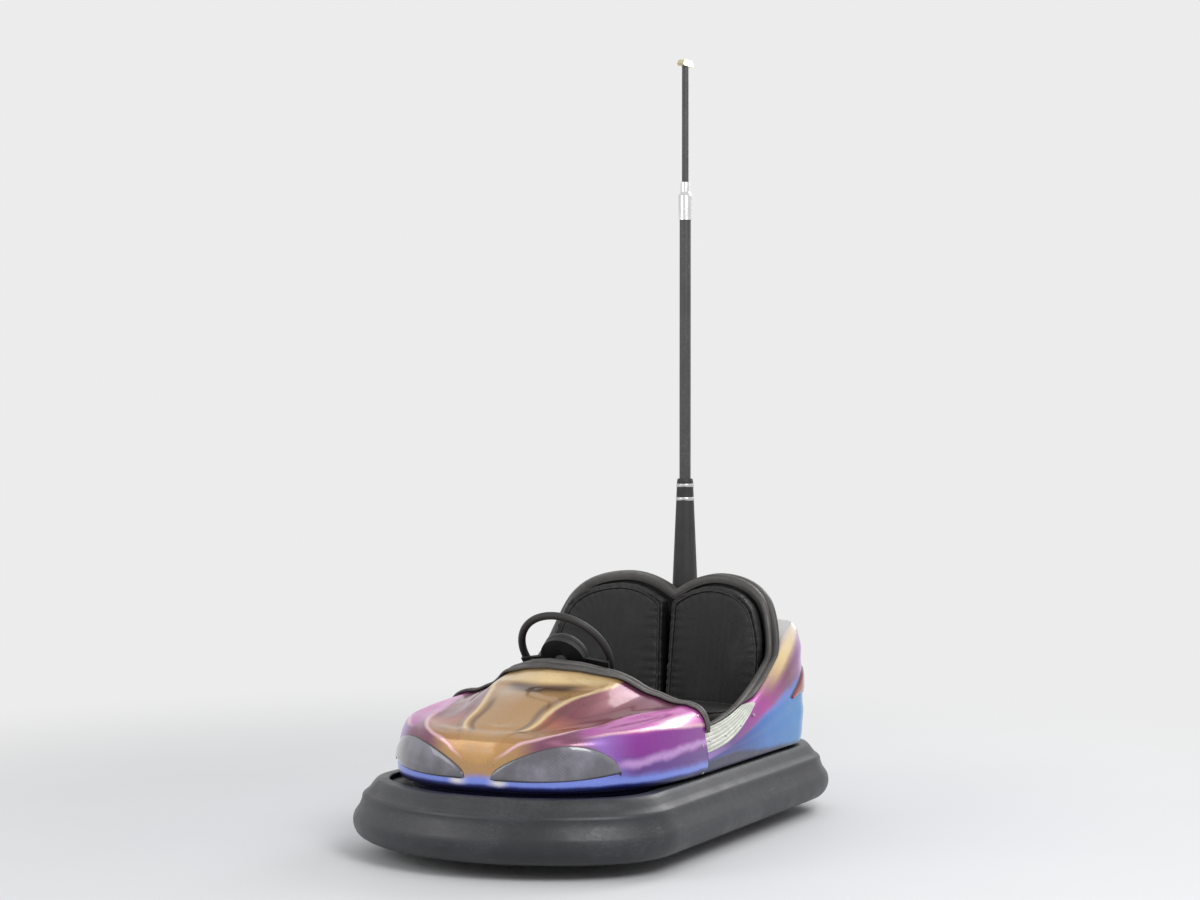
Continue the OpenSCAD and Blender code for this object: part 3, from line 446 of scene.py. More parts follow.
def simpleFinish(name, color, rough, metallic=0.0, grain=0.0, grainSize=500.0, scuff=0.3, scuffColor=None,
                 dusty=0.25, wear=0.0, vary=0.12, coat=0.0):
    # One recipe for the plain finishes: mottled colour, scratches, dust, worn edges and grain
    material, tree, shader, place = startMaterial(name)
    dark = tuple(c * (1 - vary) for c in color)
    light = tuple(min(1.0, c * (1 + vary) + vary * 0.02) for c in color)
    pale = scuffColor or tuple(min(1.0, c * 1.8 + 0.05) for c in color)
    tone = blendColors(tree, step(tree, noiseAt(tree, place, 7.0, 5.0, 0.6), 0.3, 0.7), dark, light)
    scratches = useGroup(tree, scratchGroup, Scale=7.0, Amount=scuff)
    tone = blendColors(tree, product(tree, scratches, 0.6), tone, pale)
    uneven = step(tree, noiseAt(tree, place, 23.0, 4.0), 0.25, 0.75, rough - 0.07, rough + 0.08)
    roughness = sums(tree, "ADD", uneven, product(tree, scratches, 0.15), True)
    if wear:
        bare = useGroup(tree, wearGroup, Amount=wear)
        tone = blendColors(tree, bare, tone, (0.35, 0.35, 0.36))
        roughness = blendValues(tree, bare, roughness, 0.35)
    dust = useGroup(tree, dustGroup, Amount=dusty)
    tone = blendColors(tree, dust, tone, (0.36, 0.34, 0.31))
    roughness = blendValues(tree, dust, roughness, 0.9)
    feedAll(tree, shader, {"Base Color": tone, "Roughness": roughness, "Metallic": metallic,
                           "Coat Weight": coat, "Coat Roughness": 0.12})
    if grain:
        height = useGroup(tree, grainGroup, Scale=grainSize)
    else:
        height = total(tree, noiseAt(tree, place, 60.0, 4.0), product(tree, scratches, -0.6))
    bump(tree, shader, height, grain or 0.0004, 0.7)
    return material


steelPaint = simpleFinish("steelPaint", (0.035, 0.036, 0.039), 0.42, scuff=0.7, wear=0.8, dusty=0.3)
tubPlastic = simpleFinish("tubPlastic", (0.012, 0.012, 0.013), 0.66, grain=0.0005, grainSize=650, dusty=0.2)
gripRubber = simpleFinish("gripRubber", (0.013, 0.013, 0.014), 0.48, grain=0.0004, grainSize=1100, dusty=0.05)
edgingRubber = simpleFinish("edgingRubber", (0.062, 0.058, 0.055), 0.42, grain=0.0002, grainSize=900,
                            dusty=0.3, vary=0.25)
bareSteel = simpleFinish("bareSteel", (0.55, 0.55, 0.56), 0.34, metallic=1.0, scuff=0.9, dusty=0.1)
castIron = simpleFinish("castIron", (0.11, 0.11, 0.115), 0.6, metallic=0.7, grain=0.0008, grainSize=420,
                        dusty=0.35)
wheelRubber = simpleFinish("wheelRubber", (0.025, 0.025, 0.025), 0.8, grain=0.0005, grainSize=500, dusty=0.5)
poleSteel = simpleFinish("poleSteel", (0.05, 0.05, 0.052), 0.4, scuff=1.0, scuffColor=(0.28, 0.28, 0.29),
                         wear=0.3)
ferruleMetal = simpleFinish("ferruleMetal", (0.78, 0.78, 0.77), 0.28, metallic=1.0, scuff=0.8, dusty=0.05)
shoeMetal = simpleFinish("shoeMetal", (0.66, 0.58, 0.38), 0.35, metallic=1.0, scuff=1.0, dusty=0.1)
shellInside = simpleFinish("shellInside", (0.026, 0.026, 0.028), 0.62, grain=0.0006, grainSize=240, dusty=0.3)
silverPaint = simpleFinish("silverPaint", (0.72, 0.71, 0.74), 0.3, metallic=0.4, coat=0.6, dusty=0.1)


def studRubber():
    # Round studs 18 mm apart, dusty between them and rubbed on top
    material, tree, shader, place = startMaterial("matRubber")
    spot = addNode(tree, "ShaderNodeSeparateXYZ", {"Vector": place})
    waves = [sums(tree, "SINE", product(tree, spot.outputs[axis], 2 * math.pi / 0.018)) for axis in (0, 1)]
    stud = step(tree, product(tree, waves[0], waves[1]), 0.3, 0.5)
    dirt = step(tree, noiseAt(tree, place, 9.0, 5.0, 0.6), 0.3, 0.7)
    between = blendColors(tree, dirt, (0.02, 0.019, 0.018), (0.075, 0.068, 0.06))
    feed(tree, shader, "Base Color", blendColors(tree, stud, between, (0.017, 0.017, 0.018)))
    feed(tree, shader, "Roughness", blendValues(tree, stud, 0.9, 0.55))
    bump(tree, shader, total(tree, stud, product(tree, noiseAt(tree, place, 300.0, 3.0), 0.2)), 0.0015, 0.9)
    return material


matRubber = studRubber()
bootRubber = simpleFinish("bootRubber", (0.02, 0.02, 0.021), 0.55, grain=0.0004, grainSize=700, dusty=0.35)
print("plain finishes ready")


# Airbrushed metallic paint: facets of colour that follow the rails and creases of each shell, with painted
# highlights along some creases and ridges and painted shade in the grooves and the scoop

def shade(screen):
    # From a screen colour to the light that it stands for
    return tuple(((c / 255 + 0.055) / 1.055) ** 2.4 for c in screen)


paint = {"navy": (16, 20, 70), "deepBlue": (36, 52, 142), "blue": (44, 120, 204), "cyan": (82, 160, 216),
         "iceBlue": (126, 146, 236), "lavender": (152, 112, 196), "paleLavender": (206, 160, 224),
         "purple": (138, 38, 150), "violet": (100, 58, 142), "magenta": (178, 62, 158),
         "pink": (218, 112, 192), "blush": (244, 196, 206), "mauve": (126, 70, 98), "maroon": (122, 46, 64),
         "copper": (172, 92, 68), "brown": (84, 52, 30), "goldBrown": (160, 110, 64), "gold": (194, 148, 90),
         "paleGold": (240, 210, 156), "tan": (184, 142, 92), "silver": (196, 190, 194),
         "white": (240, 236, 236)}
paint = {name: shade(screen) for name, screen in paint.items()}
# Spaces between the rails of each shell
bonnetSpaces, rearSpaces = 12.0, 8.0


def paintedShell(name, bandsOn):
    # bandsOn gives the colour, from the tree and a slow drift that keeps the airbrushed edges uneven
    material, tree, shader, place = startMaterial(name)
    drift = product(tree, sums(tree, "SUBTRACT", noiseAt(tree, place, 11.0, 4.0), 0.5), 0.3)
    flakes = addNode(tree, "ShaderNodeTexVoronoi", {"Vector": place, "Scale": 1300.0}).outputs["Color"]
    spark = step(tree, parts(tree, flakes)[0], 0.2, 1.0, 0.84, 1.14)
    grey = addNode(tree, "ShaderNodeCombineXYZ", {"X": spark, "Y": spark, "Z": spark}).outputs[0]
    color = blendColors(tree, 1.0, bandsOn(tree, drift), grey, "MULTIPLY")
    scratches = useGroup(tree, scratchGroup, Scale=3.0, Amount=0.12)
    dust = useGroup(tree, dustGroup, Amount=0.06, Scale=4.0)
    coats = [(product(tree, scratches, 0.3), (0.6, 0.56, 0.56)), (dust, (0.4, 0.38, 0.36))]
    rough = step(tree, noiseAt(tree, place, 14.0, 4.0), 0.3, 0.7, 0.26, 0.38)
    rough = blendValues(tree, dust, blendValues(tree, scratches, rough, 0.55), 0.8)
    feedAll(tree, shader, {"Base Color": coated(tree, color, coats), "Roughness": rough, "Metallic": 0.35,
                           "Coat Weight": 0.5, "Coat Roughness": 0.07})
    fine = product(tree, noiseAt(tree, place, 420.0, 2.0), 0.03)
    bump(tree, shader, total(tree, noiseAt(tree, place, 6.0, 2.0), fine), 0.002, 0.3)
    return material


def bonnetBands(tree, drift):
    p, row = paint, railsOf(tree)["Y"]
    scoop, lip, share = attribute(tree, "marks")
    rail = total(tree, product(tree, row, bonnetSpaces), drift)
    lamp, shoulder, spine = (total(tree, value, drift) for value in attribute(tree, "bands"))
    across = sums(tree, "DIVIDE", rail, 6.0)
    below = ramp(tree, across, [(0.0, "navy"), (0.375, "navy"), (0.405, "deepBlue"), (0.44, "iceBlue"),
                                (0.5, "iceBlue"), (0.57, "lavender"), (1.0, "lavender")])
    side = ramp(tree, across, [(0.0, "lavender"), (0.5, "violet"), (0.56, "violet"), (0.62, "purple"),
                               (0.76, "purple"), (0.82, "magenta")])
    upper = ramp(tree, share, [(0.0, "gold"), (0.22, "goldBrown"), (0.4, "copper"), (0.56, "maroon"),
                               (0.86, "maroon"), (1.0, "mauve")])
    line = along(tree, sums(tree, "SUBTRACT", rail, product(tree, share, 0.84)), 2.88, 0.22)
    groove = product(tree, along(tree, spine, 0.75, 0.5), step(tree, share, 0.03, 0.08),
                     step(tree, share, 0.8, 0.6))
    outside = product(tree, along(tree, spine, -0.75, 0.5), step(tree, share, 0.05, 0.12),
                      step(tree, share, 0.75, 0.5))
    ridgeHighlight = product(tree, along(tree, spine, 0.0, 0.4), step(tree, share, 0.98, 0.9),
                    step(tree, share, 0.05, 0.14))
    return coated(tree, below, [
        # Beside and over the lamps: violet under a pale line that is a painted highlight, then saturated
        # purple
        (product(tree, step(tree, rail, 2.8, 3.2), step(tree, share, 0.42, 0.66)), side),
        (product(tree, line, step(tree, share, 0.5, 0.6), 0.85), p["paleLavender"]),
        (product(tree, step(tree, rail, 3.1, 3.5), step(tree, share, 0.5, 0.36)),
         blendColors(tree, step(tree, share, 0.1, 0.22), p["tan"], p["mauve"])),
        (product(tree, step(tree, rail, 2.9, 3.2), step(tree, share, 0.11, 0.06)), p["tan"]),
        # Between the shoulder's crease and the one over the lamp, with a painted white highlight spot and a
        # painted highlight along the shoulder's crease
        (product(tree, step(tree, shoulder, -0.1, 0.25), step(tree, share, 0.34, 0.46)),
         blendColors(tree, step(tree, share, 0.35, 0.95), p["magenta"], p["pink"])),
        # A painted highlight: a white spot on the pink facet
        (product(tree, along(tree, row, 0.445, 0.06), along(tree, share, 0.87, 0.14), 0.8), p["white"]),
        # A painted highlight: pale blush along the shoulder's crease
        (product(tree, along(tree, shoulder, 0.1, 0.3), step(tree, share, 0.36, 0.5), 0.8), p["blush"]),
        # Over the lamp's crease, from gold at the nose to maroon at the cockpit, with a painted highlight in
        # blush and pink along the crease
        (step(tree, lamp, -0.12, 0.2), upper),
        (product(tree, along(tree, lamp, 0.1, 0.35), step(tree, share, 0.03, 0.1), 0.85),
         blendColors(tree, step(tree, share, 0.4, 0.7), p["blush"], p["pink"])),
        # The spine in tan, painted shade in the grooves beside its ridges and a painted highlight along them,
        # gold at the nose, a painted highlight glint by the nose, painted shade in the scoop and a painted
        # highlight on its lip
        (step(tree, spine, -0.3, 0.1), p["tan"]),
        # Painted shade: brown in the grooves on both sides of the spine's ridges
        (product(tree, groove, 0.7), p["brown"]),
        (product(tree, outside, 0.5), p["brown"]),
        # A painted highlight: pale gold along the top of the spine's ridges
        (product(tree, ridgeHighlight, 0.9), p["paleGold"]),
        (product(tree, step(tree, share, 0.045, 0.0), step(tree, rail, 3.4, 4.0), 0.6), p["gold"]),
        # A painted highlight: white glints beside the nose, below the lamps' inner ends
        (product(tree, along(tree, rail, 2.75, 0.5), along(tree, share, 0.06, 0.045)), p["white"]),
        # Painted shade: brown inside the scoop, under its lip
        (product(tree, step(tree, scoop, 0.35, 0.75), step(tree, share, 0.95, 0.9)), p["brown"]),
        # A painted highlight: pale gold on the scoop's lip
        (lip, p["paleGold"])])


def rearBands(tree, drift):
    p = paint
    overTop, overLow, share = attribute(tree, "bands")
    overTop, overLow = total(tree, overTop, drift), total(tree, overLow, drift)
    rail = total(tree, product(tree, railsOf(tree)["Y"], rearSpaces), drift)
    blue = ramp(tree, share, [(0.0, "deepBlue"), (0.14, "deepBlue"), (0.3, "blue"), (0.6, "cyan"),
                              (0.84, "cyan"), (1.0, "blue")])
    upper = ramp(tree, share, [(0.0, "lavender"), (0.12, "violet"), (0.3, "magenta"), (0.42, "mauve"),
                               (0.55, "paleLavender"), (0.78, "silver"), (0.9, "paleLavender"),
                               (1.0, "magenta")])
    top = ramp(tree, share, [(0.0, "violet"), (0.3, "mauve"), (0.42, "paleGold"), (0.6, "white"),
                             (0.85, "silver"), (1.0, "blush")])
    down = ramp(tree, sums(tree, "DIVIDE", rail, rearSpaces),
                [(0.0, "navy"), (0.42, "violet"), (0.56, "magenta"), (0.7, "pink"), (0.85, "blush")])
    return coated(tree, p["navy"], [
        # Blue band over navy, brightest towards the tail
        (step(tree, overLow, -0.15, 0.35), blue),
        # Above it: violet at the door, then magenta, mauve and silver
        (step(tree, overTop, -0.2, 0.3), upper),
        (product(tree, along(tree, overTop, 0.0, 0.35), step(tree, share, 0.2, 0.4), 0.6), p["iceBlue"]),
        # Near the top: mauve and pale gold paint, with white and silver that are partly paint and partly a
        # painted highlight on the upper shoulder
        (product(tree, step(tree, rail, 5.6, 6.5), step(tree, share, 0.24, 0.4)), top),
        # The valley in the middle of the tail
        (product(tree, step(tree, share, 0.88, 0.97), step(tree, rail, 3.2, 4.2)), down)])

bonnetPaint = paintedShell("bonnetPaint", bonnetBands)
rearPaint = paintedShell("rearPaint", rearBands)
print("shell paint ready")

# Sizes that the shells and the bumper share, as in the part's own table
body = {"noseX": 0.842, "tailX": -0.842, "sideY": 0.5, "doorX": 0.195, "channelTop": 0.233, "edgeZ": 0.262,
        "sillZ": 0.39, "deckZ": 0.7, "shellT": 0.006, "edgingW": 0.026, "creaseW": 0.03}


def easedCrease(line):
    # A crease as closely spaced (rail, place, height), rounded where it bends
    path = smoothPath([np.array(p, float) for p in line], 6)
    for _ in range(8):
        path[1:-1] = (path[:-2] + 2 * path[1:-1] + path[2:]) / 4
    return path


def offCrease(points, line):
    # How far each point is from a line of (x, y, z, height), and the line's height there
    flat = points.reshape(-1, 3).copy()
    flat[:, 1] = np.abs(flat[:, 1])
    nearest, height = np.full(len(flat), 9.0), np.zeros(len(flat))
    for a, b in zip(line[:-1], line[1:]):
        way = b[:3] - a[:3]
        t = np.clip((flat - a[:3]) @ way / (way @ way), 0.0, 1.0)
        off = np.linalg.norm(flat - a[:3] - t[:, None] * way, axis=1)
        closer = off < nearest
        nearest[closer], height[closer] = off[closer], (a[3] + t * (b[3] - a[3]))[closer]
    return nearest, height


def creaseHeights(points, lines):
    # How far the raised creases lift each point, as tents along the lines
    lifts = [height * np.clip(1 - off / body["creaseW"], 0.0, 1.0)
             for off, height in (offCrease(points, line) for line in lines)]
    return np.max(lifts, axis=0).reshape(points.shape[:-1])


def railPlaces(piece, rows):
    # For each vertex its rail, and its share of the way round, from the UV map
    uv = piece.data.uv_layers["rails"].data
    places = np.zeros((len(piece.data.vertices), 2))
    for loop in piece.data.loops:
        places[loop.vertex_index] = (uv[loop.index].uv.x, uv[loop.index].uv.y * rows)
    return places


def markVertices(piece, name, values):
    layer = piece.data.attributes.new(name, "FLOAT_VECTOR", "POINT")
    for item, value in zip(layer.data, values):
        item.vector = value


def creaseRows(piece, rows, sharpness):
    # Sharpens the edges that run along the rails
    places = railPlaces(piece, rows)[:, 1]
    crease = piece.data.attributes.new("crease_edge", "FLOAT", "EDGE")
    for edge in piece.data.edges:
        a, b = (places[v] for v in edge.vertices)
        if abs(a - b) < 0.01 and abs(a - round(a)) < 0.01:
            crease.data[edge.index].value = sharpness[round(a)]


def thicken(piece, levels, outside, inside):
    for material in (outside, inside):
        piece.data.materials.append(material)
    addModifier(piece, "SUBSURF", levels=levels, render_levels=levels)
    addModifier(piece, "SOLIDIFY", thickness=body["shellT"], offset=-1.0, use_rim=True, material_offset=1)
    applyModifiers(piece)
    smooth(piece, 50)


# Front shell, from the same rails as the solid
bonnet = {"cowlX": 0.365, "cowlZ": 0.612, "noseZ": 0.442, "crestZ": 0.466, "lampZ": 0.298, "lampH": 0.114,
          "scoopDepth": 0.03, "scoopFrom": 0.05, "scoopTo": 0.66, "power": 2.5, "steps": 48, "split": 4,
          "evened": 24, "bandScale": 0.042, "closer": 1.6}
# Its creases: rail, share of the way from the nose to the door, height
lampCrease = [(3.4, 0.02, 2), (3.9, 0.11, 5), (4.75, 0.25, 7), (6.6, 0.44, 8), (7.6, 0.7, 8), (7.2, 0.89, 7),
              (6.8, 1, 3)]
shoulderCrease = [(4.5, 0.35, 2), (4.9, 0.51, 6), (4.9, 0.7, 7), (4.6, 0.9, 6), (4.5, 1, 3)]
spineCrease = [(3.8, 0.04, 2), (7.4, 0.1, 5), (10, 0.4, 8), (10.4, 0.7, 9), (9.9, 0.9, 8), (9.6, 0.97, 4)]
lipCrease = [(9.9, 0.9, 8), (10.8, 0.94, 9), (12, 0.95, 10)]


def bonnetRails():
    b, c = bonnet, body
    nose, side, door, top = c["noseX"], c["sideY"], c["doorX"], b["lampZ"] + b["lampH"]
    crest, lip, cowl = b["crestZ"], b["noseZ"], b["cowlZ"]
    # Each rail: x and z at the nose; x, y and z at the door or cockpit; bulge up to the next; sharpness
    return [
        (nose - 0.032, c["channelTop"], door, side - 0.047, c["channelTop"], 0, 0),
        (nose - 0.025, c["channelTop"] + 0.017, door, side - 0.042, c["channelTop"] + 0.017, 0, 0),
        (nose, c["edgeZ"], door, side, c["edgeZ"], 0.002, 0.6),
        (nose + 0.003, b["lampZ"], door, side + 0.008, b["lampZ"] + 0.002, 0.003, 0.2),
        (nose - 0.012, top, door, side - 0.005, c["sillZ"] + 0.002, 0.002, 0.3),
        (nose - 0.036, top + 0.022, door - 0.026, side - 0.024, crest - 0.024, 0.004, 0.3),
        (nose - 0.07, lip + 0.002, door - 0.035, side - 0.056, crest + 0.003, 0.001, 0.3),
        (nose - 0.082, lip - 0.005, door - 0.034, side - 0.092, crest + 0.01, -0.004, 0),
        (nose - 0.098, lip - 0.006, door - 0.014, 0.644 * side, crest + 0.038, -0.005, 0),
        (nose - 0.112, lip + 0.001, door + 0.022, 0.5 * side, crest + 0.076, 0.002, 0),
        (nose - 0.124, lip + 0.008, door + 0.058, 0.4 * side, cowl - 0.04, 0, 0.2),
        (nose - 0.134, lip + 0.009, door + 0.12, 0.19 * side, cowl - 0.012, 0, 0),
        (nose - 0.14, lip + 0.009, b["cowlX"], 0, cowl, 0, 0)]


frontRails = bonnetRails()
frontTop = len(frontRails) - 1


def scoopShare(k, run):
    share = {frontTop: 1.0, frontTop - 1: 0.75, frontTop - 2: 0.2}.get(k, 0.0)
    if not bonnet["scoopFrom"] <= run <= bonnet["scoopTo"]:
        return 0.0
    part = (run - bonnet["scoopFrom"]) / (bonnet["scoopTo"] - bonnet["scoopFrom"])
    return share * math.sin(math.pi * math.sqrt(part)) ** 2


def bonnetPoint(k, share):
    # On a rail: share is 0 at the nose, and 1 or -1 at the doors
    low = min(int(k), frontTop - 1)
    turn, points = math.pi / 2 * abs(share), []
    run = max(math.cos(turn), 0.0) ** (2 / bonnet["power"])
    out = math.copysign(math.sin(turn) ** (2 / bonnet["power"]), share)
    for i in (low, low + 1):
        noseX, noseZ, doorX, doorY, doorZ = frontRails[i][:5]
        points.append(np.array((doorX + (noseX - doorX) * run, doorY * out,
                                doorZ + (noseZ - doorZ) * run - bonnet["scoopDepth"] * scoopShare(i, run))))
    return points[0] * (low + 1 - k) + points[1] * (k - low)


def creaseOn(grid, line):
    return np.array([(*onGrid(grid, k * bonnet["split"], (1 + share) * bonnet["steps"]), height / 1000)
                     for k, share, height in easedCrease(line)])


def bonnetGrid():
    steps = bonnet["steps"]
    grid = np.array([[bonnetPoint(k, j / steps) for j in range(-steps, steps + 1)]
                     for k in range(frontTop + 1)])
    grid = finerGrid(grid, gridNormals(grid, True), [r[5] for r in frontRails], bonnet["split"])
    # The rails crowd together behind the nose, so the form is evened out there
    shares = np.abs(np.linspace(-1, 1, 2 * steps + 1))
    ease = np.clip((0.7 - shares) / 0.45, 0.0, 1.0)[:, None] * 0.5
    first = 5 * bonnet["split"]
    for _ in range(bonnet["evened"]):
        middle = (grid[first - 1:-2] + grid[first + 1:]) / 2
        grid[first:-1] += ease * (middle - grid[first:-1])
        grid[-1, :, 2] += ease[:, 0] * (grid[-2, :, 2] - grid[-1, :, 2])
    lines = [creaseOn(grid, line) for line in (lampCrease, shoulderCrease, spineCrease, lipCrease)]
    return grid + creaseHeights(grid, lines)[..., None] * gridNormals(grid, True)


frontGrid = bonnetGrid()
frontDirs = gridNormals(frontGrid, True)
frontShell = gridPiece("bonnetShell", frontGrid, folded=True)
creaseRows(frontShell, frontTop, [r[6] for r in frontRails])


def bandsOf(piece, places, lines):
    # How far each vertex lies above each crease, in spaces between two rails, closer together at the nose
    points = spotsOf(piece)
    shares, out = np.abs(places[:, 0] * 2 - 1), []
    for line in lines:
        line = [(line[0][0], 0.0, 0), *line, (line[-1][0], 1.0, 0)]
        eased = easedCrease(line)
        above = np.sign(places[:, 1] - np.interp(shares, eased[:, 1], eased[:, 0]))
        out.append(above * offCrease(points, creaseOn(frontGrid, line))[0] / bonnet["bandScale"])
    return np.stack(out, axis=1) * np.interp(shares, (0.05, 0.5), (bonnet["closer"], 1.0))[:, None]


places = railPlaces(frontShell, frontTop)
markVertices(frontShell, "bands", bandsOf(frontShell, places, (lampCrease, shoulderCrease, spineCrease)))
# Marks for the paint: how deep the scoop is, where painted shade fills it; the lip, where a painted highlight
# lies; and the share of the way round
marks = []
for u, k in places:
    share = abs(2 * u - 1)
    run = max(math.cos(math.pi / 2 * share), 0.0) ** (2 / bonnet["power"])
    low = min(int(k), frontTop - 1)
    scoop = scoopShare(low, run) * (low + 1 - k) + scoopShare(low + 1, run) * (k - low)
    lip = np.interp(share, (0.91, 0.94, 0.965, 1), (0, 1, 1, 0.4)) * np.interp(k, (9.6, 10.2), (0, 1))
    marks.append((scoop, lip, share))
markVertices(frontShell, "marks", marks)
thicken(frontShell, 1, bonnetPaint, shellInside)
dress(frontShell, None, replaced=("front_shell",))
print("front shell ready")

# Rear shell, round the tail from door to door
rear = {"riseX": -0.64, "risePower": 2.65, "tailRadius": 1.05, "rimCorner": 0.11, "lampZ": 0.405,
        "lampH": 0.155, "valley": 0.024, "valleyHalf": 0.15, "side": 12, "turn": 8, "back": 6, "fine": 3,
        "split": 4}


def tailRails():
    tail, side, sill, deck, top = (body[key] for key in ("tailX", "sideY", "sillZ", "deckZ", "channelTop"))
    # Each rail: x and z at the tail; y and z at the door; corner radius; bulge up to the next; sharpness
    return [
        (tail + 0.03, top, side - 0.047, top, 0.15, 0, 0),
        (tail + 0.022, top + 0.017, side - 0.042, top + 0.017, 0.165, 0, 0),
        (tail, body["edgeZ"], side, body["edgeZ"], 0.19, 0.002, 0.6),
        (tail - 0.008, 0.32, side + 0.007, 0.3, 0.196, 0.002, 0.1),
        (tail - 0.007, rear["lampZ"], side + 0.007, sill - 0.074, 0.194, 0.003, 0.15),
        (tail + 0.006, rear["lampZ"] + rear["lampH"], side + 0.003, sill - 0.058, 0.182, 0.003, 0.2),
        (tail + 0.03, deck - 0.04, side - 0.006, sill - 0.032, 0.165, 0.002, 0.4),
        (tail + 0.054, deck - 0.008, side - 0.024, sill - 0.006, 0.15, 0.003, 0.5),
        (rear["riseX"] - 0.015, deck, side - 0.054, sill, rear["rimCorner"], 0, 0)]


rearRails = tailRails()
rearTop = len(rearRails) - 1
rearMiddle = rear["side"] + rear["turn"] + rear["back"]
# Its creases round the inner end of each tail lamp: rail, column, height
lobeCrease = [(5.35, 12, 2), (5.5, 14, 7), (5.55, 20, 8), (5.3, 22, 8), (4.55, 23, 8), (3.8, 22, 8),
              (3.55, 20, 7), (3.6, 16, 5), (3.7, 13, 2)]
deckCrease = [(6.3, 13, 2), (6.4, 18, 6), (6.35, 22.2, 7), (5.7, 24, 6), (4.6, 24.6, 4), (3.6, 24.4, 1)]


def rise(x):
    run = (body["doorX"] - x) / (body["doorX"] - rear["riseX"])
    return min(max(run, 0.0), 1.0) ** rear["risePower"]


def cornerOf(rail):
    cornerY, reach = rail[2] - rail[4], rear["tailRadius"] - rail[4]
    cornerX = rail[0] + rear["tailRadius"] - math.sqrt(reach ** 2 - cornerY ** 2)
    return cornerX, cornerY, math.asin(cornerY / reach)


def rearPlan(rail, j):
    cornerX, cornerY, turn = cornerOf(rail)
    frontX, side, turnSteps = body["doorX"] - 0.0005, rear["side"], rear["turn"]
    if j <= side:
        return frontX + (cornerX - frontX) * j / side, rail[2]
    if j <= side + turnSteps:
        a = math.pi / 2 + (math.pi / 2 - turn) * (j - side) / turnSteps
        return cornerX + rail[4] * math.cos(a), cornerY + rail[4] * math.sin(a)
    a = math.pi - turn * (side + turnSteps + rear["back"] - j) / rear["back"]
    return rail[0] + rear["tailRadius"] * (1 + math.cos(a)), rear["tailRadius"] * math.sin(a)


def rearPoint(k, j):
    low = min(int(k), rearTop - 1)
    points = []
    for i in (low, low + 1):
        rail = rearRails[i]
        x, y = rearPlan(rail, j)
        z = rail[3] + (rail[1] - rail[3]) * rise(x)
        if j > rear["side"] + rear["turn"] and 4 <= i <= 7 and abs(y) < rear["valleyHalf"]:
            x += rear["valley"] * math.cos(math.pi / 2 * y / rear["valleyHalf"]) ** 2
        points.append(np.array((x, y, z)))
    return points[0] * (low + 1 - k) + points[1] * (k - low)


def rearGrid():
    grid = []
    for k in range(rearTop + 1):
        half = [rearPoint(k, j / rear["fine"]) for j in range(rearMiddle * rear["fine"] + 1)]
        grid.append(half + [p * mirror for p in half[-2::-1]])
    grid = np.array(grid)
    grid = finerGrid(grid, gridNormals(grid), [r[5] for r in rearRails], rear["split"])
    lines = [np.array([(*rearPoint(k, j), height / 1000) for k, j, height in easedCrease(line)])
             for line in (lobeCrease, deckCrease)]
    return grid + creaseHeights(grid, lines)[..., None] * gridNormals(grid)


backGrid = rearGrid()
backDirs = gridNormals(backGrid)
rearShell = gridPiece("rearShell", backGrid)
creaseRows(rearShell, rearTop, [r[6] for r in rearRails])
places = railPlaces(rearShell, rearTop)
columns = rearMiddle * (1 - np.abs(places[:, 0] * 2 - 1))
blueTop = np.interp(columns, (0, 3.8, 6.8, 12, 20, 26), (3.3, 4.7, 5.3, 4.6, 3.6, 3.4))
blueLow = np.interp(columns, (0, 3.5, 7, 12, 20, 26), (2.9, 3.1, 2.4, 2.0, 1.8, 1.8))
bands = np.stack([places[:, 1] - blueTop, places[:, 1] - blueLow, columns / rearMiddle], axis=1)
markVertices(rearShell, "bands", bands)
thicken(rearShell, 1, rearPaint, shellInside)
dress(rearShell, None, replaced=("rear_shell",))
print("rear shell ready")


def frontSurface(k, share):
    # A place on the finished front shell, and the way out of it
    row, column = k * bonnet["split"], (1 + share) * bonnet["steps"]
    return onGrid(frontGrid, row, column), unit(onGrid(frontDirs, row, column))


def rearSurface(k, j):
    row, column = k * rear["split"], j * rear["fine"]
    return onGrid(backGrid, row, column), unit(onGrid(backDirs, row, column))


# Bumper: the section of the solid with more steps, carried round the car
bumper = {"length": 1.98, "width": 1.16, "noseR": 0.7, "noseCorner": 0.33, "tailR": 1.1, "tailCorner": 0.28,
          "low": 0.048, "top": 0.25, "deep": 0.1197, "belly": 0.066, "bead": 0.02, "beadIn": 0.03, "fine": 3}


def arcPoints(x, y, radius, start, stop, steps):
    turns = [math.radians(start + (stop - start) * i / steps) for i in range(steps + 1)]
    return [(x + radius * math.cos(t), y + radius * math.sin(t)) for t in turns]


def bumperRing(inset):
    b, fine = bumper, bumper["fine"]
    noseX, tailX = b["length"] / 2 - b["noseR"], b["tailR"] - b["length"] / 2
    noseY, tailY = b["width"] / 2 - b["noseCorner"], b["width"] / 2 - b["tailCorner"]
    noseReach, tailReach = b["noseR"] - b["noseCorner"], b["tailR"] - b["tailCorner"]
    cornerX = noseX + math.sqrt(noseReach ** 2 - noseY ** 2)
    backX = tailX - math.sqrt(tailReach ** 2 - tailY ** 2)
    noseTurn = math.degrees(math.asin(noseY / noseReach))
    tailTurn = math.degrees(math.asin(tailY / tailReach))
    nose = arcPoints(noseX, 0, b["noseR"] - inset, 0, noseTurn, 5 * fine)
    corner = arcPoints(cornerX, noseY, b["noseCorner"] - inset, noseTurn, 90, 7 * fine)[1:]
    rearCorner = arcPoints(backX, tailY, b["tailCorner"] - inset, 90, 180 - tailTurn, 9 * fine)
    tail = arcPoints(tailX, 0, b["tailR"] - inset, 180 - tailTurn, 180, 3 * fine)[1:]
    sideFrom, sideTo = corner[-1], rearCorner[0]
    side = [(sideFrom[0] + (sideTo[0] - sideFrom[0]) * i / 12, sideFrom[1]) for i in range(1, 12)]
    half = nose + corner + side + rearCorner + tail
    return half + [(x, -y) for x, y in half[-2:0:-1]]


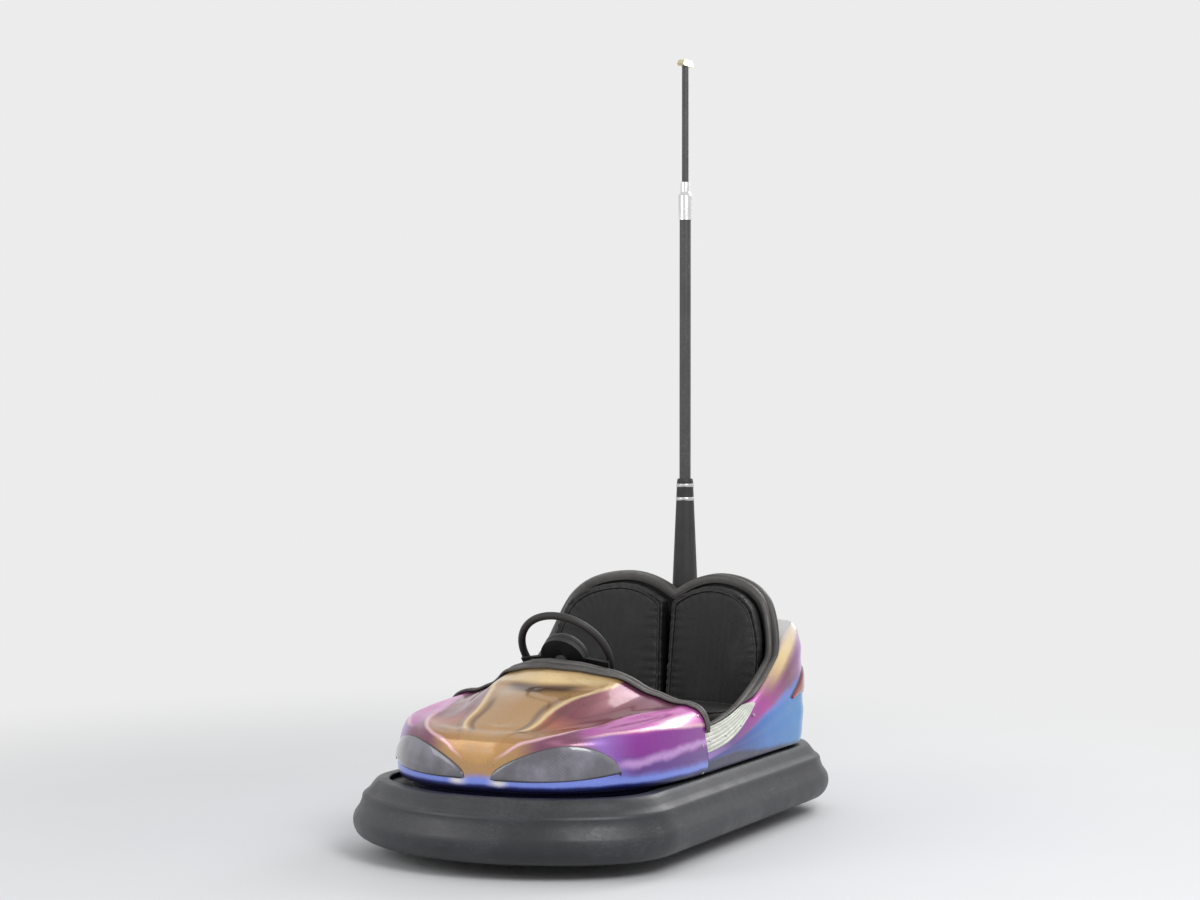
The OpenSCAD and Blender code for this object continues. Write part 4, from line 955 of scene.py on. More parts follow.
def bumperSection():
    b = bumper
    beadZ = b["low"] + 0.7 * (b["top"] - b["low"])
    belly = arcPoints(-b["belly"], b["low"] + b["belly"], b["belly"], -100, 24, 16)
    bead = arcPoints(-b["beadIn"] - b["bead"], beadZ, b["bead"], -8, 72, 7)
    groove = [((belly[-1][0] + bead[0][0]) / 2 - 0.004, (belly[-1][1] + bead[0][1]) / 2)]
    upper = [(-0.056, b["top"] - 0.029), (-0.067, b["top"] - 0.014), (-0.076, b["top"] - 0.0045),
             (-0.081, b["top"] - 0.001)]
    inner = [(-0.087, b["top"]), (-b["deep"] + 0.003, b["top"]), (-b["deep"], b["top"] - 0.003),
             (-b["deep"], b["low"] + 0.002), (-b["deep"] + 0.003, b["low"])]
    return [(-x, z) for x, z in inner[-1:] + belly + groove + bead + upper + inner[:-1]]


section = bumperSection()
rings = [bumperRing(inset) for inset, z in section]
grid = np.array([[(*spot, z) for spot, (inset, z) in zip(spots, section)] for spots in zip(*rings)])
bumperPiece = gridPiece("bumperBody", grid, closedRows=True, closedCols=True)
finished(bumperPiece, 40)


def bumperFinish():
    material, tree, shader, place = startMaterial("bumperRubber")
    height = parts(tree, place)["Z"]
    mottle = step(tree, noiseAt(tree, place, 5.0, 6.0, 0.65), 0.3, 0.7)
    tone = blendColors(tree, mottle, (0.016, 0.017, 0.020), (0.033, 0.034, 0.039))
    chalk = step(tree, noiseAt(tree, place, 16.0, 6.0, 0.7, (0.5, 0.5, 2.2)), 0.5, 0.78)
    smear = step(tree, noiseAt(tree, place, 9.0, 5.0, 0.6, (0.25, 0.25, 3.0)), 0.62, 0.8)
    band = product(tree, step(tree, height, 0.05, 0.09), step(tree, height, 0.21, 0.16))
    rubs = product(tree, useGroup(tree, scratchGroup, Scale=4.0, Amount=1.0), band, 0.55)
    dust = useGroup(tree, dustGroup, Amount=0.12, Scale=3.0)
    coats = [(product(tree, chalk, 0.3), (0.08, 0.082, 0.09)), (rubs, (0.13, 0.13, 0.135)),
             (product(tree, smear, band, 0.35), (0.012, 0.012, 0.013)), (dust, (0.3, 0.29, 0.27))]
    tone = coated(tree, tone, coats)
    feed(tree, shader, "Base Color", tone)
    rough = total(tree, step(tree, mottle, 0.0, 1.0, 0.34, 0.48), product(tree, rubs, 0.3))
    feed(tree, shader, "Roughness", blendValues(tree, dust, rough, 0.9))
    grain = useGroup(tree, grainGroup, Scale=420.0)
    dents = total(tree, product(tree, grain, 0.25), product(tree, noiseAt(tree, place, 34.0, 4.0), 1.2))
    bump(tree, shader, sums(tree, "SUBTRACT", dents, product(tree, rubs, 0.5)), 0.0012, 0.6)
    return material


bumperRubber = bumperFinish()
dress(bumperPiece, bumperRubber, replaced=("bumper_tyre",))
print("bumper ready")

# Rubber edging along the cockpit and over the humps: an inner bead, a groove, and an outer bead that widens
# over the shell. Each point is a height in millimetres and a share of the width.
edging = {"gap": 0.0012,
          "slim": [(-16, 0.0), (3, 0.0), (4, 0.0), (5, -0.01), (6, -0.02), (6.6, -0.02), (7, -0.02),
                   (7.4, -0.01), (7.8, 0.0), (8, 0.02), (8.3, 0.05), (9.2, 0.12), (10.2, 0.22), (10.6, 0.38),
                   (10.2, 0.56), (9.2, 0.74), (6.8, 0.9), (4, 0.99), (-8, 1.0), (-14, 0.93), (-16, 0.8),
                   (-16, 0.5)],
          "full": [(-16, 0.0), (3, 0.0), (3.2, -0.5), (4.4, -0.82), (8.6, -0.92), (12.6, -0.84),
                   (14.4, -0.66), (14.2, -0.44), (12.4, -0.22), (8.4, -0.08), (6.6, 0.0), (8.6, 0.07),
                   (11.8, 0.2), (12.8, 0.38), (12.4, 0.58), (10.8, 0.76), (7.4, 0.92), (4, 0.99), (-8, 1.0),
                   (-14, 0.93), (-16, 0.8), (-16, 0.5)]}


def edgingPiece(name, path, ups, wide, replaced, reach=0.0):
    # reach lowers the underside, in millimetres
    last = len(path) - 1
    slim, full = np.array(edging["slim"]), np.array(edging["full"])
    rows = []
    for i in range(last + 1):
        past = unit(np.cross(ups[i], path[min(i + 1, last)] - path[max(i - 1, 0)]))
        profile = slim + wide[i] * (full - slim)
        profile[profile[:, 0] < -10, 0] -= reach
        rows.append([path[i] + up / 1000 * ups[i] + (edging["gap"] + share * body["edgingW"]) * past
                     for up, share in profile])
    piece = gridPiece(name, np.array(rows), closedCols=True, capped=True)
    finished(piece, 45)
    return dress(piece, edgingRubber, replaced=replaced)


cowl = {"from": 4.2, "steps": 40, "taper": 10}
half = [frontSurface(cowl["from"] + (frontTop - cowl["from"]) * i / cowl["steps"], 1.0)
        for i in range(cowl["steps"] + 1)]
path, ups = (np.array([v * mirror for v in line[:-1]] + list(line[::-1])) for line in zip(*half))
wide = [min(1.0, min(i, len(path) - 1 - i) / cowl["taper"]) for i in range(len(path))]
edgingPiece("cowlEdging", path, ups, wide, ("cowl_trim",))
print("cowl edging ready")

sill = {"columns": 7.0, "ribs": 7, "ribSteps": 8, "steps": 36, "thick": 0.005, "lift": 0.0012, "sheet": 0.003,
        "low": 4.75, "lowRise": 2.0, "high": 7.86}
seat = {"wingX": -0.49, "wingH": 0.45, "wingBlend": 0.055, "humpZ": 0.848, "humpY": 0.19, "humpDip": 0.07,
        "pathSteps": 4}
rim = rearRails[-1]


def rimTop(x, y):
    share = 0.6 if abs(y) > seat["humpY"] else 1.0
    side = body["sillZ"] + (body["deckZ"] - body["sillZ"]) * rise(x)
    side += seat["wingH"] * (max(0.0, seat["wingX"] - x) / (seat["wingX"] - rim[0])) ** 2
    hump = seat["humpZ"] - seat["humpDip"] * ((abs(y) - seat["humpY"]) / seat["humpY"]) ** 2 * share
    return (side + hump - math.sqrt((side - hump) ** 2 + seat["wingBlend"] ** 2)) / 2


def rimPath():
    half = []
    for i in range(rearMiddle * seat["pathSteps"] + 1):
        x, y = rearPlan(rim, i / seat["pathSteps"])
        half.append((x, y, rimTop(x, y)))
    return np.array(half + [(x, -y, z) for x, y, z in half[-2::-1]])


def upsOf(path):
    # Square to the path, and as near to upright as it lets them be
    last = len(path) - 1
    ahead = [unit(path[min(i + 1, last)] - path[max(i - 1, 0)]) for i in range(last + 1)]
    return [np.cross(d, unit(np.cross((0.0, 0.0, 1.0), d))) for d in ahead]


# It widens past the sill plates, and reaches down over the top of the tub
path = rimPath()
columns = [min(i, len(path) - 1 - i) / seat["pathSteps"] for i in range(len(path))]
wide = [max(0.0, min(1.0, (column - sill["columns"]) / 1.5)) for column in columns]
edgingPiece("rimEdging", path, upsOf(path), wide, ("rim_trim",), 4.5)
print("rim edging ready")

# Lenses: domed sheets that lie on the shells, each in a thin rubber frame
lens = {"lift": 0.001, "thick": 0.007, "rows": 14, "foot": 0.0002, "sealR": 0.0036, "sealStep": 0.006}


def borderOf(grid):
    last, end = len(grid) - 1, len(grid[0]) - 1
    return ([grid[0][j] for j in range(end + 1)] + [grid[i][end] for i in range(1, last + 1)]
            + [grid[last][j] for j in range(end - 1, -1, -1)] + [grid[i][0] for i in range(last - 1, 0, -1)])


def lensPiece(name, turned, surface, columns, edges, material, replaced):
    # edges gives the lens's lower and upper edge, in rails, at each of its columns
    face, back = [], []
    for m in range(lens["rows"] + 1):
        share = eased(m / lens["rows"])
        faceRow, backRow = [], []
        for n, (column, (low, high)) in enumerate(zip(columns, edges)):
            point, out = surface(low + (high - low) * share, column)
            run = n / len(columns)
            inside = math.sin(math.pi * share) * min(1.0, 6 * run + 0.05, 6 * (1 - run) + 0.05)
            dome = 0.5 + 0.5 * min(1.0, 1.6 * inside) ** 0.6
            faceRow.append(point + (lens["lift"] + lens["thick"] * dome) * out)
            backRow.append(point + lens["foot"] * out)
        face.append(faceRow)
        back.append(backRow)
    face, back = (np.array(grid) * (1.0, turned, 1.0) for grid in (face, back))
    piece = gridPiece(name, face)
    wall = gridPiece(name + "Wall", np.array([borderOf(face), borderOf(back)]), closedCols=True)
    pickOnly(piece)
    wall.select_set(True)
    bpy.ops.object.join()
    dress(finished(piece, 40), material, replaced=(replaced,))
    path = easedLoop(evenPath(borderOf(back), lens["sealStep"], True), 6)
    dress(tube(name + "Seal", path, lens["sealR"], 50), edgingRubber)


def lensFinish(name, deep, pale, rough, lines):
    # A moulded plastic lens: ribs on its back show as a fine bump and as darker lines
    material, tree, shader, place = startMaterial(name)
    rails = railsOf(tree)
    ribs = sums(tree, "SINE", product(tree, rails["X"], lines))
    cross = sums(tree, "SINE", product(tree, rails["Y"], lines * 0.3))
    pattern = product(tree, ribs, cross)
    cloud = step(tree, noiseAt(tree, place, 12.0, 4.0), 0.3, 0.72)
    mask = total(tree, product(tree, cloud, 0.5), step(tree, pattern, -1.0, 1.0, 0.0, 0.1))
    scuffs = product(tree, useGroup(tree, scratchGroup, Scale=8.0, Amount=0.5), 0.3)
    tone = blendColors(tree, scuffs, blendColors(tree, mask, deep, pale), (0.5, 0.5, 0.5))
    feed(tree, shader, "Base Color", tone)
    feed(tree, shader, "Roughness", total(tree, scuffs, rough))
    feed(tree, shader, "Coat Weight", 1.0)
    feed(tree, shader, "Coat Roughness", 0.04)
    bump(tree, shader, pattern, 0.0003, 0.3)
    return material


smokedLens = lensFinish("smokedLens", (0.085, 0.082, 0.1), (0.3, 0.29, 0.35), 0.2, 260.0)
redLens = lensFinish("redLens", (0.16, 0.004, 0.006), (0.42, 0.02, 0.02), 0.14, 300.0)


def lampEdges(share):
    # The headlamp's lower and upper edge at a share of its length
    return 3 + 0.2 * share ** 3, 3.06 + 0.9 * math.sin(math.pi * share ** 1.3) ** 0.45


headLamp = {"from": 0.035, "to": 0.555, "columns": 44}
tailLamp = {"from": rear["side"] - 1, "long": 10, "middle": 4.5, "columns": 36}
shares = [eased((n + 0.35) / (headLamp["columns"] + 0.7)) for n in range(headLamp["columns"] + 1)]
headColumns = [headLamp["from"] + (headLamp["to"] - headLamp["from"]) * share for share in shares]
headEdges = [lampEdges(share) for share in shares]
leaf = [eased(n / tailLamp["columns"]) for n in range(tailLamp["columns"] + 1)]
tailColumns = [tailLamp["from"] + tailLamp["long"] * t for t in leaf]
leafHalf = [0.02 + 0.44 * t ** 0.6 * math.sqrt(max(0.0, 1 - t ** 6)) for t in leaf]
tailEdges = [(tailLamp["middle"] - half, tailLamp["middle"] + half) for half in leafHalf]
for sideName, turned in sides:
    lensPiece(sideName + "HeadLens", turned, frontSurface, headColumns, headEdges, smokedLens,
              "headlamp_" + sideName)
    lensPiece(sideName + "TailLens", turned, rearSurface, tailColumns, tailEdges, redLens,
              "tail_lamp_" + sideName)
print("lenses ready")

# Sill plates: ribs that run along the sill, wrapped over its edge, blunt at the rear end
def sillPiece(sideName, turned):
    s, grid = sill, []
    count = s["ribs"] * s["ribSteps"]
    for m in range(count + 1):
        wave, row = eased(2 * m / s["ribSteps"]), []
        edge = 0.35 if m in (0, count) else 1.0
        for n in range(s["steps"] + 1):
            share = n / s["steps"]
            low = s["low"] + s["lowRise"] * share ** 1.4
            fade = min(1.0, 12 * (1 - share), 12 * share)
            point, out = rearSurface(low + (s["high"] - low) * m / count, s["columns"] * share)
            row.append(point + (s["lift"] + s["thick"] * (0.4 + 0.5 * wave * fade) * edge) * out)
        grid.append(row)
    piece = gridPiece(sideName + "SillPlate", np.array(grid) * (1.0, turned, 1.0))
    addModifier(piece, "SOLIDIFY", thickness=s["sheet"], offset=-turned, use_rim=True)
    applyModifiers(piece)
    return finished(piece, 60)


def sillFinish():
    material, tree, shader, place = startMaterial("sillPlastic")
    grooves = sums(tree, "COSINE", product(tree, railsOf(tree)["Y"], 2 * math.pi * sill["ribs"]))
    stain = step(tree, noiseAt(tree, place, 14.0, 6.0, 0.65), 0.35, 0.75)
    tone = blendColors(tree, stain, (0.70, 0.72, 0.64), (0.50, 0.51, 0.43))
    tone = blendColors(tree, step(tree, grooves, 0.2, 1.0, 0.0, 0.5), tone, (0.2, 0.2, 0.16))
    scuffs = useGroup(tree, scratchGroup, Scale=5.0, Amount=0.9)
    tone = blendColors(tree, product(tree, scuffs, 0.4), tone, (0.16, 0.15, 0.14))
    feed(tree, shader, "Base Color", tone)
    feed(tree, shader, "Roughness", step(tree, stain, 0.0, 1.0, 0.38, 0.6))
    bump(tree, shader, noiseAt(tree, place, 260.0, 3.0), 0.0003, 0.6)
    return material


sillPlastic = sillFinish()
for sideName, turned in sides:
    dress(sillPiece(sideName, turned), sillPlastic, replaced=("sill_plate_" + sideName,))
print("sill plates ready")


# Chevron across the tail, with a ridge along its middle
chevron = {"half": 4.0, "steps": 48, "across": 8, "low": 3.1, "lowRise": 0.5, "high": 3.3, "highRise": 0.75,
           "lift": 0.003, "thick": 0.009, "sheet": 0.009}


def chevronPiece():
    c, grid = chevron, []
    for m in range(c["across"] + 1):
        share = m / c["across"]
        row = []
        for n in range(c["steps"] + 1):
            off = c["half"] * (2 * n / c["steps"] - 1)
            peak = 1 - math.sqrt(off ** 2 + 0.04) / c["half"]
            low, high = c["low"] + c["lowRise"] * peak, c["high"] + c["highRise"] * peak
            point, out = rearSurface(low + (high - low) * share, rearMiddle + off)
            ends = min(1.0, 0.5 + 4 * (1 - abs(off) / c["half"]))
            row.append(point + (c["lift"] + c["thick"] * (1 - abs(share - 0.5)) * ends) * out)
        grid.append(row)
    piece = gridPiece("rearChevron", np.array(grid))
    addModifier(piece, "SOLIDIFY", thickness=c["sheet"], offset=-1.0, use_rim=True)
    applyModifiers(piece)
    return finished(piece, 25)


dress(chevronPiece(), silverPaint, replaced=("rear_chevron",))
print("chevron ready")

# Seat cushion and back pads: a slimmer copy of each solid swells as cloth between its seams
cushion = {"shrink": 0.007, "seamInset": 0.016, "seamHold": 0.009, "seamStep": 0.004, "pressure": 5.0,
           "frames": 20, "weltR": 0.0036, "grooveD": 0.0032, "grooveW": 0.011, "pucker": 0.0014,
           "puckerPitch": 0.034, "puckerReach": 0.028, "stitchPitch": 0.009, "stitchL": 0.0055,
           "stitchR": 0.0007, "stitchOff": 0.0085, "rays": 220, "search": (0.02, 0.7)}


def vinyl(name, color, rough):
    # Grained vinyl, creased and a little rubbed, with dust in the seams
    material, tree, shader, place = startMaterial(name)
    reach = addNode(tree, "ShaderNodeAttribute", attribute_name="seamReach").outputs["Fac"]
    nearSeam = step(tree, reach, 0.022, 0.002)
    rubbed = step(tree, noiseAt(tree, place, 4.5, 5.0, 0.6), 0.42, 0.72)
    tone = blendColors(tree, rubbed, color, tuple(c * 1.7 + 0.003 for c in color))
    dust = useGroup(tree, dustGroup, Amount=0.14)
    caught = product(tree, nearSeam, step(tree, noiseAt(tree, place, 60.0, 3.0), 0.45, 0.7, 0.0, 0.16))
    tone = blendColors(tree, sums(tree, "MAXIMUM", dust, caught), tone, (0.2, 0.19, 0.17))
    feed(tree, shader, "Base Color", tone)
    feed(tree, shader, "Roughness", blendValues(tree, rubbed, rough + 0.06, rough - 0.08))
    feed(tree, shader, "Specular IOR Level", 0.42)
    inputs = {"Vector": place, "Scale": 520.0}
    cells = addNode(tree, "ShaderNodeTexVoronoi", inputs, feature="DISTANCE_TO_EDGE").outputs["Distance"]
    grain = step(tree, cells, 0.0, 0.12)
    inputs = {"Vector": place, "Scale": 26.0, "Detail": 4.0, "Distortion": 1.6}
    folds = sums(tree, "SUBTRACT", addNode(tree, "ShaderNodeTexNoise", inputs).outputs["Fac"], 0.5)
    creases = step(tree, sums(tree, "ABSOLUTE", folds), 0.0, 0.05)
    first = addNode(tree, "ShaderNodeBump", {"Height": creases, "Distance": 0.0008, "Strength": 0.4})
    second = bump(tree, shader, grain, 0.00025, 0.7)
    feed(tree, second, "Normal", first.outputs[0])
    return material


# Black vinyl, made darker still as painted shade for the shadowed cockpit
seatVinyl = vinyl("seatVinyl", (0.006, 0.006, 0.0065), 0.46)
weltVinyl = vinyl("weltVinyl", (0.010, 0.010, 0.011), 0.4)
stitchThread = simpleFinish("stitchThread", (0.06, 0.06, 0.062), 0.7, dusty=0.3)


def slimCopy(name, node, voxel):
    piece = addObject(name, nodes[node].data.copy())
    piece.data.materials.clear()
    fixNormals(piece)
    addModifier(piece, "REMESH", mode="VOXEL", voxel_size=voxel)
    addModifier(piece, "SMOOTH", factor=0.5, iterations=8)
    addModifier(piece, "DISPLACE", strength=-cushion["shrink"], mid_level=0.0)
    addModifier(piece, "SMOOTH", factor=0.5, iterations=6)
    applyModifiers(piece)
    return piece


def onFace(tree, ray, spot):
    place = tree.ray_cast(*ray(spot))[0]
    return None if place is None else np.array(place)


def hitsOf(tree, ray, spots):
    return [p for p in (onFace(tree, ray, spot) for spot in spots) if p is not None]


def seamLoop(tree, ray, centre):
    # The outline of the front face, found by rays, then drawn in and rounded
    outline = []
    for n in range(cushion["rays"]):
        turn = 2 * math.pi * n / cushion["rays"]
        ahead = np.array((math.cos(turn), math.sin(turn)))
        low, high = cushion["search"]
        for _ in range(14):
            middle = (low + high) / 2
            if onFace(tree, ray, centre + middle * ahead) is None:
                high = middle
            else:
                low = middle
        outline.append(centre + low * ahead)
    flat = np.array(outline)
    tangent = np.roll(flat, -2, axis=0) - np.roll(flat, 2, axis=0)
    tangent /= np.linalg.norm(tangent, axis=1)[:, None]
    flat += cushion["seamInset"] * np.stack((-tangent[:, 1], tangent[:, 0]), axis=1)
    return hitsOf(tree, ray, easedLoop(flat, 8))


def finderOf(points):
    finder = KDTree(len(points))
    for n, p in enumerate(points):
        finder.insert(p, n)
    finder.balance()
    return finder


def swell(piece, finder, inward, cap):
    # Only the front face between the seams is free to move
    before, normals = spotsOf(piece), spotsOf(piece, "vertex_normals", "vector")
    held = [n for n, p in enumerate(before)
            if np.dot(normals[n], inward(p)) > -0.35 or finder.find(p)[2] < cushion["seamHold"]]
    piece.vertex_groups.new(name="held").add(held, 1.0, "REPLACE")
    cloth = addModifier(piece, "CLOTH")
    cloth.settings.vertex_group_mass = "held"
    cloth.settings.use_pressure = True
    cloth.settings.uniform_pressure_force = cushion["pressure"]
    cloth.settings.effector_weights.gravity = 0.0
    cloth.point_cache.frame_end = cushion["frames"]
    for time in range(1, cushion["frames"] + 1):
        scene.frame_set(time)
    applyModifiers(piece)
    move = spotsOf(piece) - before
    length = np.linalg.norm(move, axis=1)
    print(piece.name, "swelled by", round(1000 * float(length.max()), 1), "mm before the cap")
    move *= (cap * np.tanh(length / cap) / np.maximum(length, 1e-9))[:, None]
    moveTo(piece, before + move)
    scene.frame_set(1)
    piece.vertex_groups.clear()


def sinkSeams(piece, finder):
    # The seams pull in, the vinyl puckers beside them, and each point keeps its distance from a seam
    here, normals = spotsOf(piece), spotsOf(piece, "vertex_normals", "vector")
    found = [finder.find(p) for p in here]
    reach = np.array([f[2] for f in found])
    along = np.array([f[1] for f in found]) * cushion["seamStep"]
    wave = np.sin(2 * math.pi * along / cushion["puckerPitch"] + 1.9 * np.sin(along * 23))
    fade = np.exp(-reach / cushion["puckerReach"]) * np.minimum(1, reach / 0.008)
    lift = cushion["pucker"] * wave * fade - cushion["grooveD"] * np.exp(-(reach / cushion["grooveW"]) ** 2)
    moveTo(piece, here + normals * lift[:, None])
    mark = piece.data.attributes.new("seamReach", "FLOAT", "POINT")
    mark.data.foreach_set("value", reach)


def stitches(name, tree, seam, toFace):
    # A row of thread beside the welt, each stitch a short flat bead
    points, faces = [], []
    each = max(1, round(cushion["stitchPitch"] / cushion["seamStep"]))
    middle = np.mean(seam, axis=0)
    for n in range(0, len(seam) - each, each):
        ahead = unit(seam[n + 1] - seam[n])
        side = np.cross(toFace(seam[n]), ahead)
        side = unit(side) * (1 if np.dot(side, middle - seam[n]) > 0 else -1)
        spot = seam[n] + cushion["stitchOff"] * side
        place, normal = tree.find_nearest(spot)[:2]
        place, normal = np.array(place), np.array(normal)
        side = unit(np.cross(normal, ahead))
        start = len(points)
        for t, r in ((-0.5, 0.3), (-0.25, 1.0), (0.25, 1.0), (0.5, 0.3)):
            for k in range(5):
                a = 2 * math.pi * k / 5
                points.append(place + ahead * t * cushion["stitchL"] + r * cushion["stitchR"]
                              * (1.3 * math.cos(a) * side + math.sin(a) * normal))
        faces += tubeFaces(start, 4, 5)
    return meshPiece(name, points, faces)


def paddedPiece(name, node, voxel, ray, centre, inward, cap, crossLines=()):
    piece = slimCopy(name, node, voxel)
    tree = BVHTree.FromObject(piece, bpy.context.evaluated_depsgraph_get())
    seams = [evenPath(seamLoop(tree, ray, centre), cushion["seamStep"], True)]
    seams += [evenPath(hitsOf(tree, ray, line), cushion["seamStep"]) for line in crossLines]
    finder = finderOf(np.concatenate(seams))
    swell(piece, finder, inward, cap)
    addModifier(piece, "SUBSURF", levels=1, render_levels=1)
    applyModifiers(piece)
    sinkSeams(piece, finder)
    smooth(piece, 80)
    welt = tube(name + "Welt", seams[0][::2], cushion["weltR"], 60)
    tree = BVHTree.FromObject(piece, bpy.context.evaluated_depsgraph_get())
    thread = stitches(name + "Stitches", tree, seams[0], lambda p: -inward(p))
    smooth(thread, 60)
    return piece, welt, thread


def mirrored(piece, name):
    copy = addObject(name, piece.data.copy())
    moveTo(copy, spotsOf(copy) * mirror)
    editAll(copy, bpy.ops.mesh.flip_normals)
    return copy


def dressPadded(pieces, node):
    piece, welt, thread = pieces
    dress(piece, seatVinyl, replaced=(node,))
    dress(welt, weltVinyl)
    dress(thread, stitchThread)


def above(spot):
    return (spot[0], spot[1], 1.0), (0.0, 0.0, -1.0)


def fromAxis(spot):
    # The pads bend round an upright axis ahead of them
    a = spot[0] / rear["tailRadius"]
    return (rim[0] + rear["tailRadius"], 0.0, spot[1]), (-math.cos(a), math.sin(a), 0.0)


def outward(p):
    return unit(np.array((p[0] - rim[0] - rear["tailRadius"], p[1], 0.0)))


# The cushion has a seam across its middle; swell is about the most that the vinyl may rise
bench = {"voxel": 0.0062, "swell": 0.016, "crossHalf": 0.25, "crossSteps": 120}
benchX, benchY = (sum(np.array(corner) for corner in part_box("seat_cushion")) / 2)[:2]
crossAt = np.linspace(benchX - bench["crossHalf"], benchX + bench["crossHalf"], bench["crossSteps"])
line = [np.array((x, 0.0)) for x in crossAt]
seatPieces = paddedPiece("seatCushion", "seat_cushion", bench["voxel"], above, np.array((benchX, benchY)),
                         lambda p: np.array((0.0, 0.0, -1.0)), bench["swell"], [line])
dressPadded(seatPieces, "seat_cushion")
print("seat cushion ready")
# The middle of a back pad is given along its bend, and in height
backPad = {"voxel": 0.006, "swell": 0.018, "middle": np.array((0.205, 0.57))}
leftPad = paddedPiece("backPadLeft", "back_pad_left", backPad["voxel"], fromAxis, backPad["middle"], outward,
                      backPad["swell"])
rightPad = [mirrored(part, part.name.replace("Left", "Right")) for part in leftPad]
dressPadded(leftPad, "back_pad_left")
dressPadded(rightPad, "back_pad_right")
print("back pads ready")

# Turned and repeated parts: a profile spun round an axis, and small fasteners set on surfaces
def frameOf(axis):
    axis = unit(np.array(axis, float))
    side = unit(np.cross(axis, (0.0, 1.0, 0.0) if abs(axis[1]) < 0.9 else (1.0, 0.0, 0.0)))
    return axis, side, np.cross(axis, side)


def spun(name, profile, centre, axis, steps=64, shape=lambda a, t: 1.0):
    # profile holds (radius, height) along the axis in millimetres; shape varies the radius round the turn
    axis, side, up = frameOf(axis)
    grid = []
    for n, (radius, height) in enumerate(profile):
        middle, ring = np.array(centre) + height / 1000 * axis, []
        for k in range(steps):
            a = 2 * math.pi * k / steps
            reach = radius * shape(a, n / (len(profile) - 1)) / 1000
            ring.append(middle + reach * (math.cos(a) * side + math.sin(a) * up))
        grid.append(ring)
    return finished(gridPiece(name, np.array(grid), closedCols=True, capped=True), 42)


def screws(name, spots, radius, height, body="car"):
    # Domed heads with a sunk cross; each spot is a place and the way out of its surface
    levels = [(1.12, 0.0), (1.12, 0.25), (1.0, 0.32), (0.9, 0.72), (0.55, 1.0), (0.0, 0.98), (0.0, 0.4)]
    points, faces = [], []
    for place, out in spots:
        out, side, up = frameOf(out)
        start = len(points)
        for r, h in levels:
            for k in range(12):
                a = 2 * math.pi * k / 12
                reach = (r if r else (0.36 if k % 3 == 0 else 0.13)) * radius
                points.append(place + height * h * out + reach * (math.cos(a) * side + math.sin(a) * up))
        faces += tubeFaces(start, len(levels), 12)
    piece = meshPiece(name, points, faces)
    smooth(piece, 35)
    dress(piece, bareSteel, body)


# Steering wheel: a padded hub with a groove round its cap, and screws through its spokes
wheelTilt = math.radians(35)
wheel = {"centre": np.array((0.235, 0.0, 0.64)),
         "axis": np.array((-math.cos(wheelTilt), 0, math.sin(wheelTilt))),
         "ahead": np.array((math.sin(wheelTilt), 0, math.cos(wheelTilt))), "screwsAt": (0.098, 0.128),
         "spokes": (100, 180, 260), "screwDrop": 0.0172}
hubProfile = [(0.2, -11.5), (77, -11.5), (79.4, -9), (80, -5), (80, 4), (78.6, 10), (75, 14.5), (70, 17.2),
              (63, 18.8), (57.5, 19.2), (55.6, 18.6), (54.6, 16.6), (53, 16.2), (51.6, 17), (50.4, 19),
              (46, 20.4), (30, 21.9), (0.2, 22.2)]
hubPad = spun("hubPad", hubProfile, wheel["centre"], wheel["axis"], 72)
dress(hubPad, gripRubber, "steering_wheel", ("steering_hub_pad",))
out = unit(wheel["axis"])
start, spokeScrews = wheel["centre"] - wheel["screwDrop"] * out, []
for turn in wheel["spokes"]:
    # The column's own X points down and forward, its Y to the left
    a = math.radians(turn)
    ahead = math.cos(a) * wheel["ahead"] + math.sin(a) * np.array((0, 1.0, 0))
    spokeScrews += [(start + reach * ahead, out) for reach in wheel["screwsAt"]]
screws("spokeScrews", spokeScrews, 0.0055, 0.003, "steering_wheel")
print("steering wheel ready")


# Screws through the sill plates and into the shells beside the door
def bothSides(surface, spots, lift):
    found = [surface(*spot) for spot in spots]
    return [((point + lift * way) * turned, way * turned) for turned in ((1.0, 1.0, 1.0), mirror)
            for point, way in found]


sillScrews = bothSides(rearSurface, [(6.05, column) for column in (0.6, 2.6, 4.6, 6.3)], 0.0052)
shellScrews = bothSides(frontSurface, [(k, 0.985) for k in (1.1, 2.1, 3.6, 5.2)], 0.0003)
shellScrews += bothSides(rearSurface, [(1.0, column) for column in (3, 7, 11, 15, 19)], 0.0003)
screws("sillScrews", sillScrews, 0.0045, 0.002)
screws("shellScrews", shellScrews, 0.005, 0.0022)
# Bolt heads under the chassis pan, clear of the rear wheels
bolts = {"inset": 0.19, "spacing": 0.26, "axleX": -0.5, "clear": 0.11, "radius": 0.009, "height": 0.006}
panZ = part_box("chassis_pan")[0][2]
boltSpots = evenPath([(x, y, panZ) for x, y in bumperRing(bolts["inset"])], bolts["spacing"], True)
panBolts = [(spot, (0.0, 0.0, -1.0)) for spot in boltSpots if abs(spot[0] - bolts["axleX"]) > bolts["clear"]]
screws("panBolts", panBolts, bolts["radius"], bolts["height"])
print("screws ready")

# Frames of the flat lamps on the humps
hump = {"z": 0.7744, "halfL": 0.052, "r": 0.0238, "wall": rear["tailRadius"] - 0.002, "lift": 0.0045,
        "frameR": 0.0034, "step": 0.005}


def humpFrame(turned):
    a = math.asin(seat["humpY"] / hump["wall"])
    back = np.array((-math.cos(a), math.sin(a) * turned, 0.0))
    across = np.array((math.sin(a) * turned, math.cos(a), 0.0))
    middle = np.array((rim[0] + rear["tailRadius"], 0.0, hump["z"])) + (hump["wall"] + hump["lift"]) * back
    path = []
    for end in (1, -1):
        for k in range(13):
            turn = math.radians(-90 + 180 * k / 12)
            path.append(middle + end * (hump["halfL"] + hump["r"] * math.cos(turn)) * across
                        + end * hump["r"] * math.sin(turn) * np.array((0, 0, 1.0)))
    return evenPath(path, hump["step"], True)


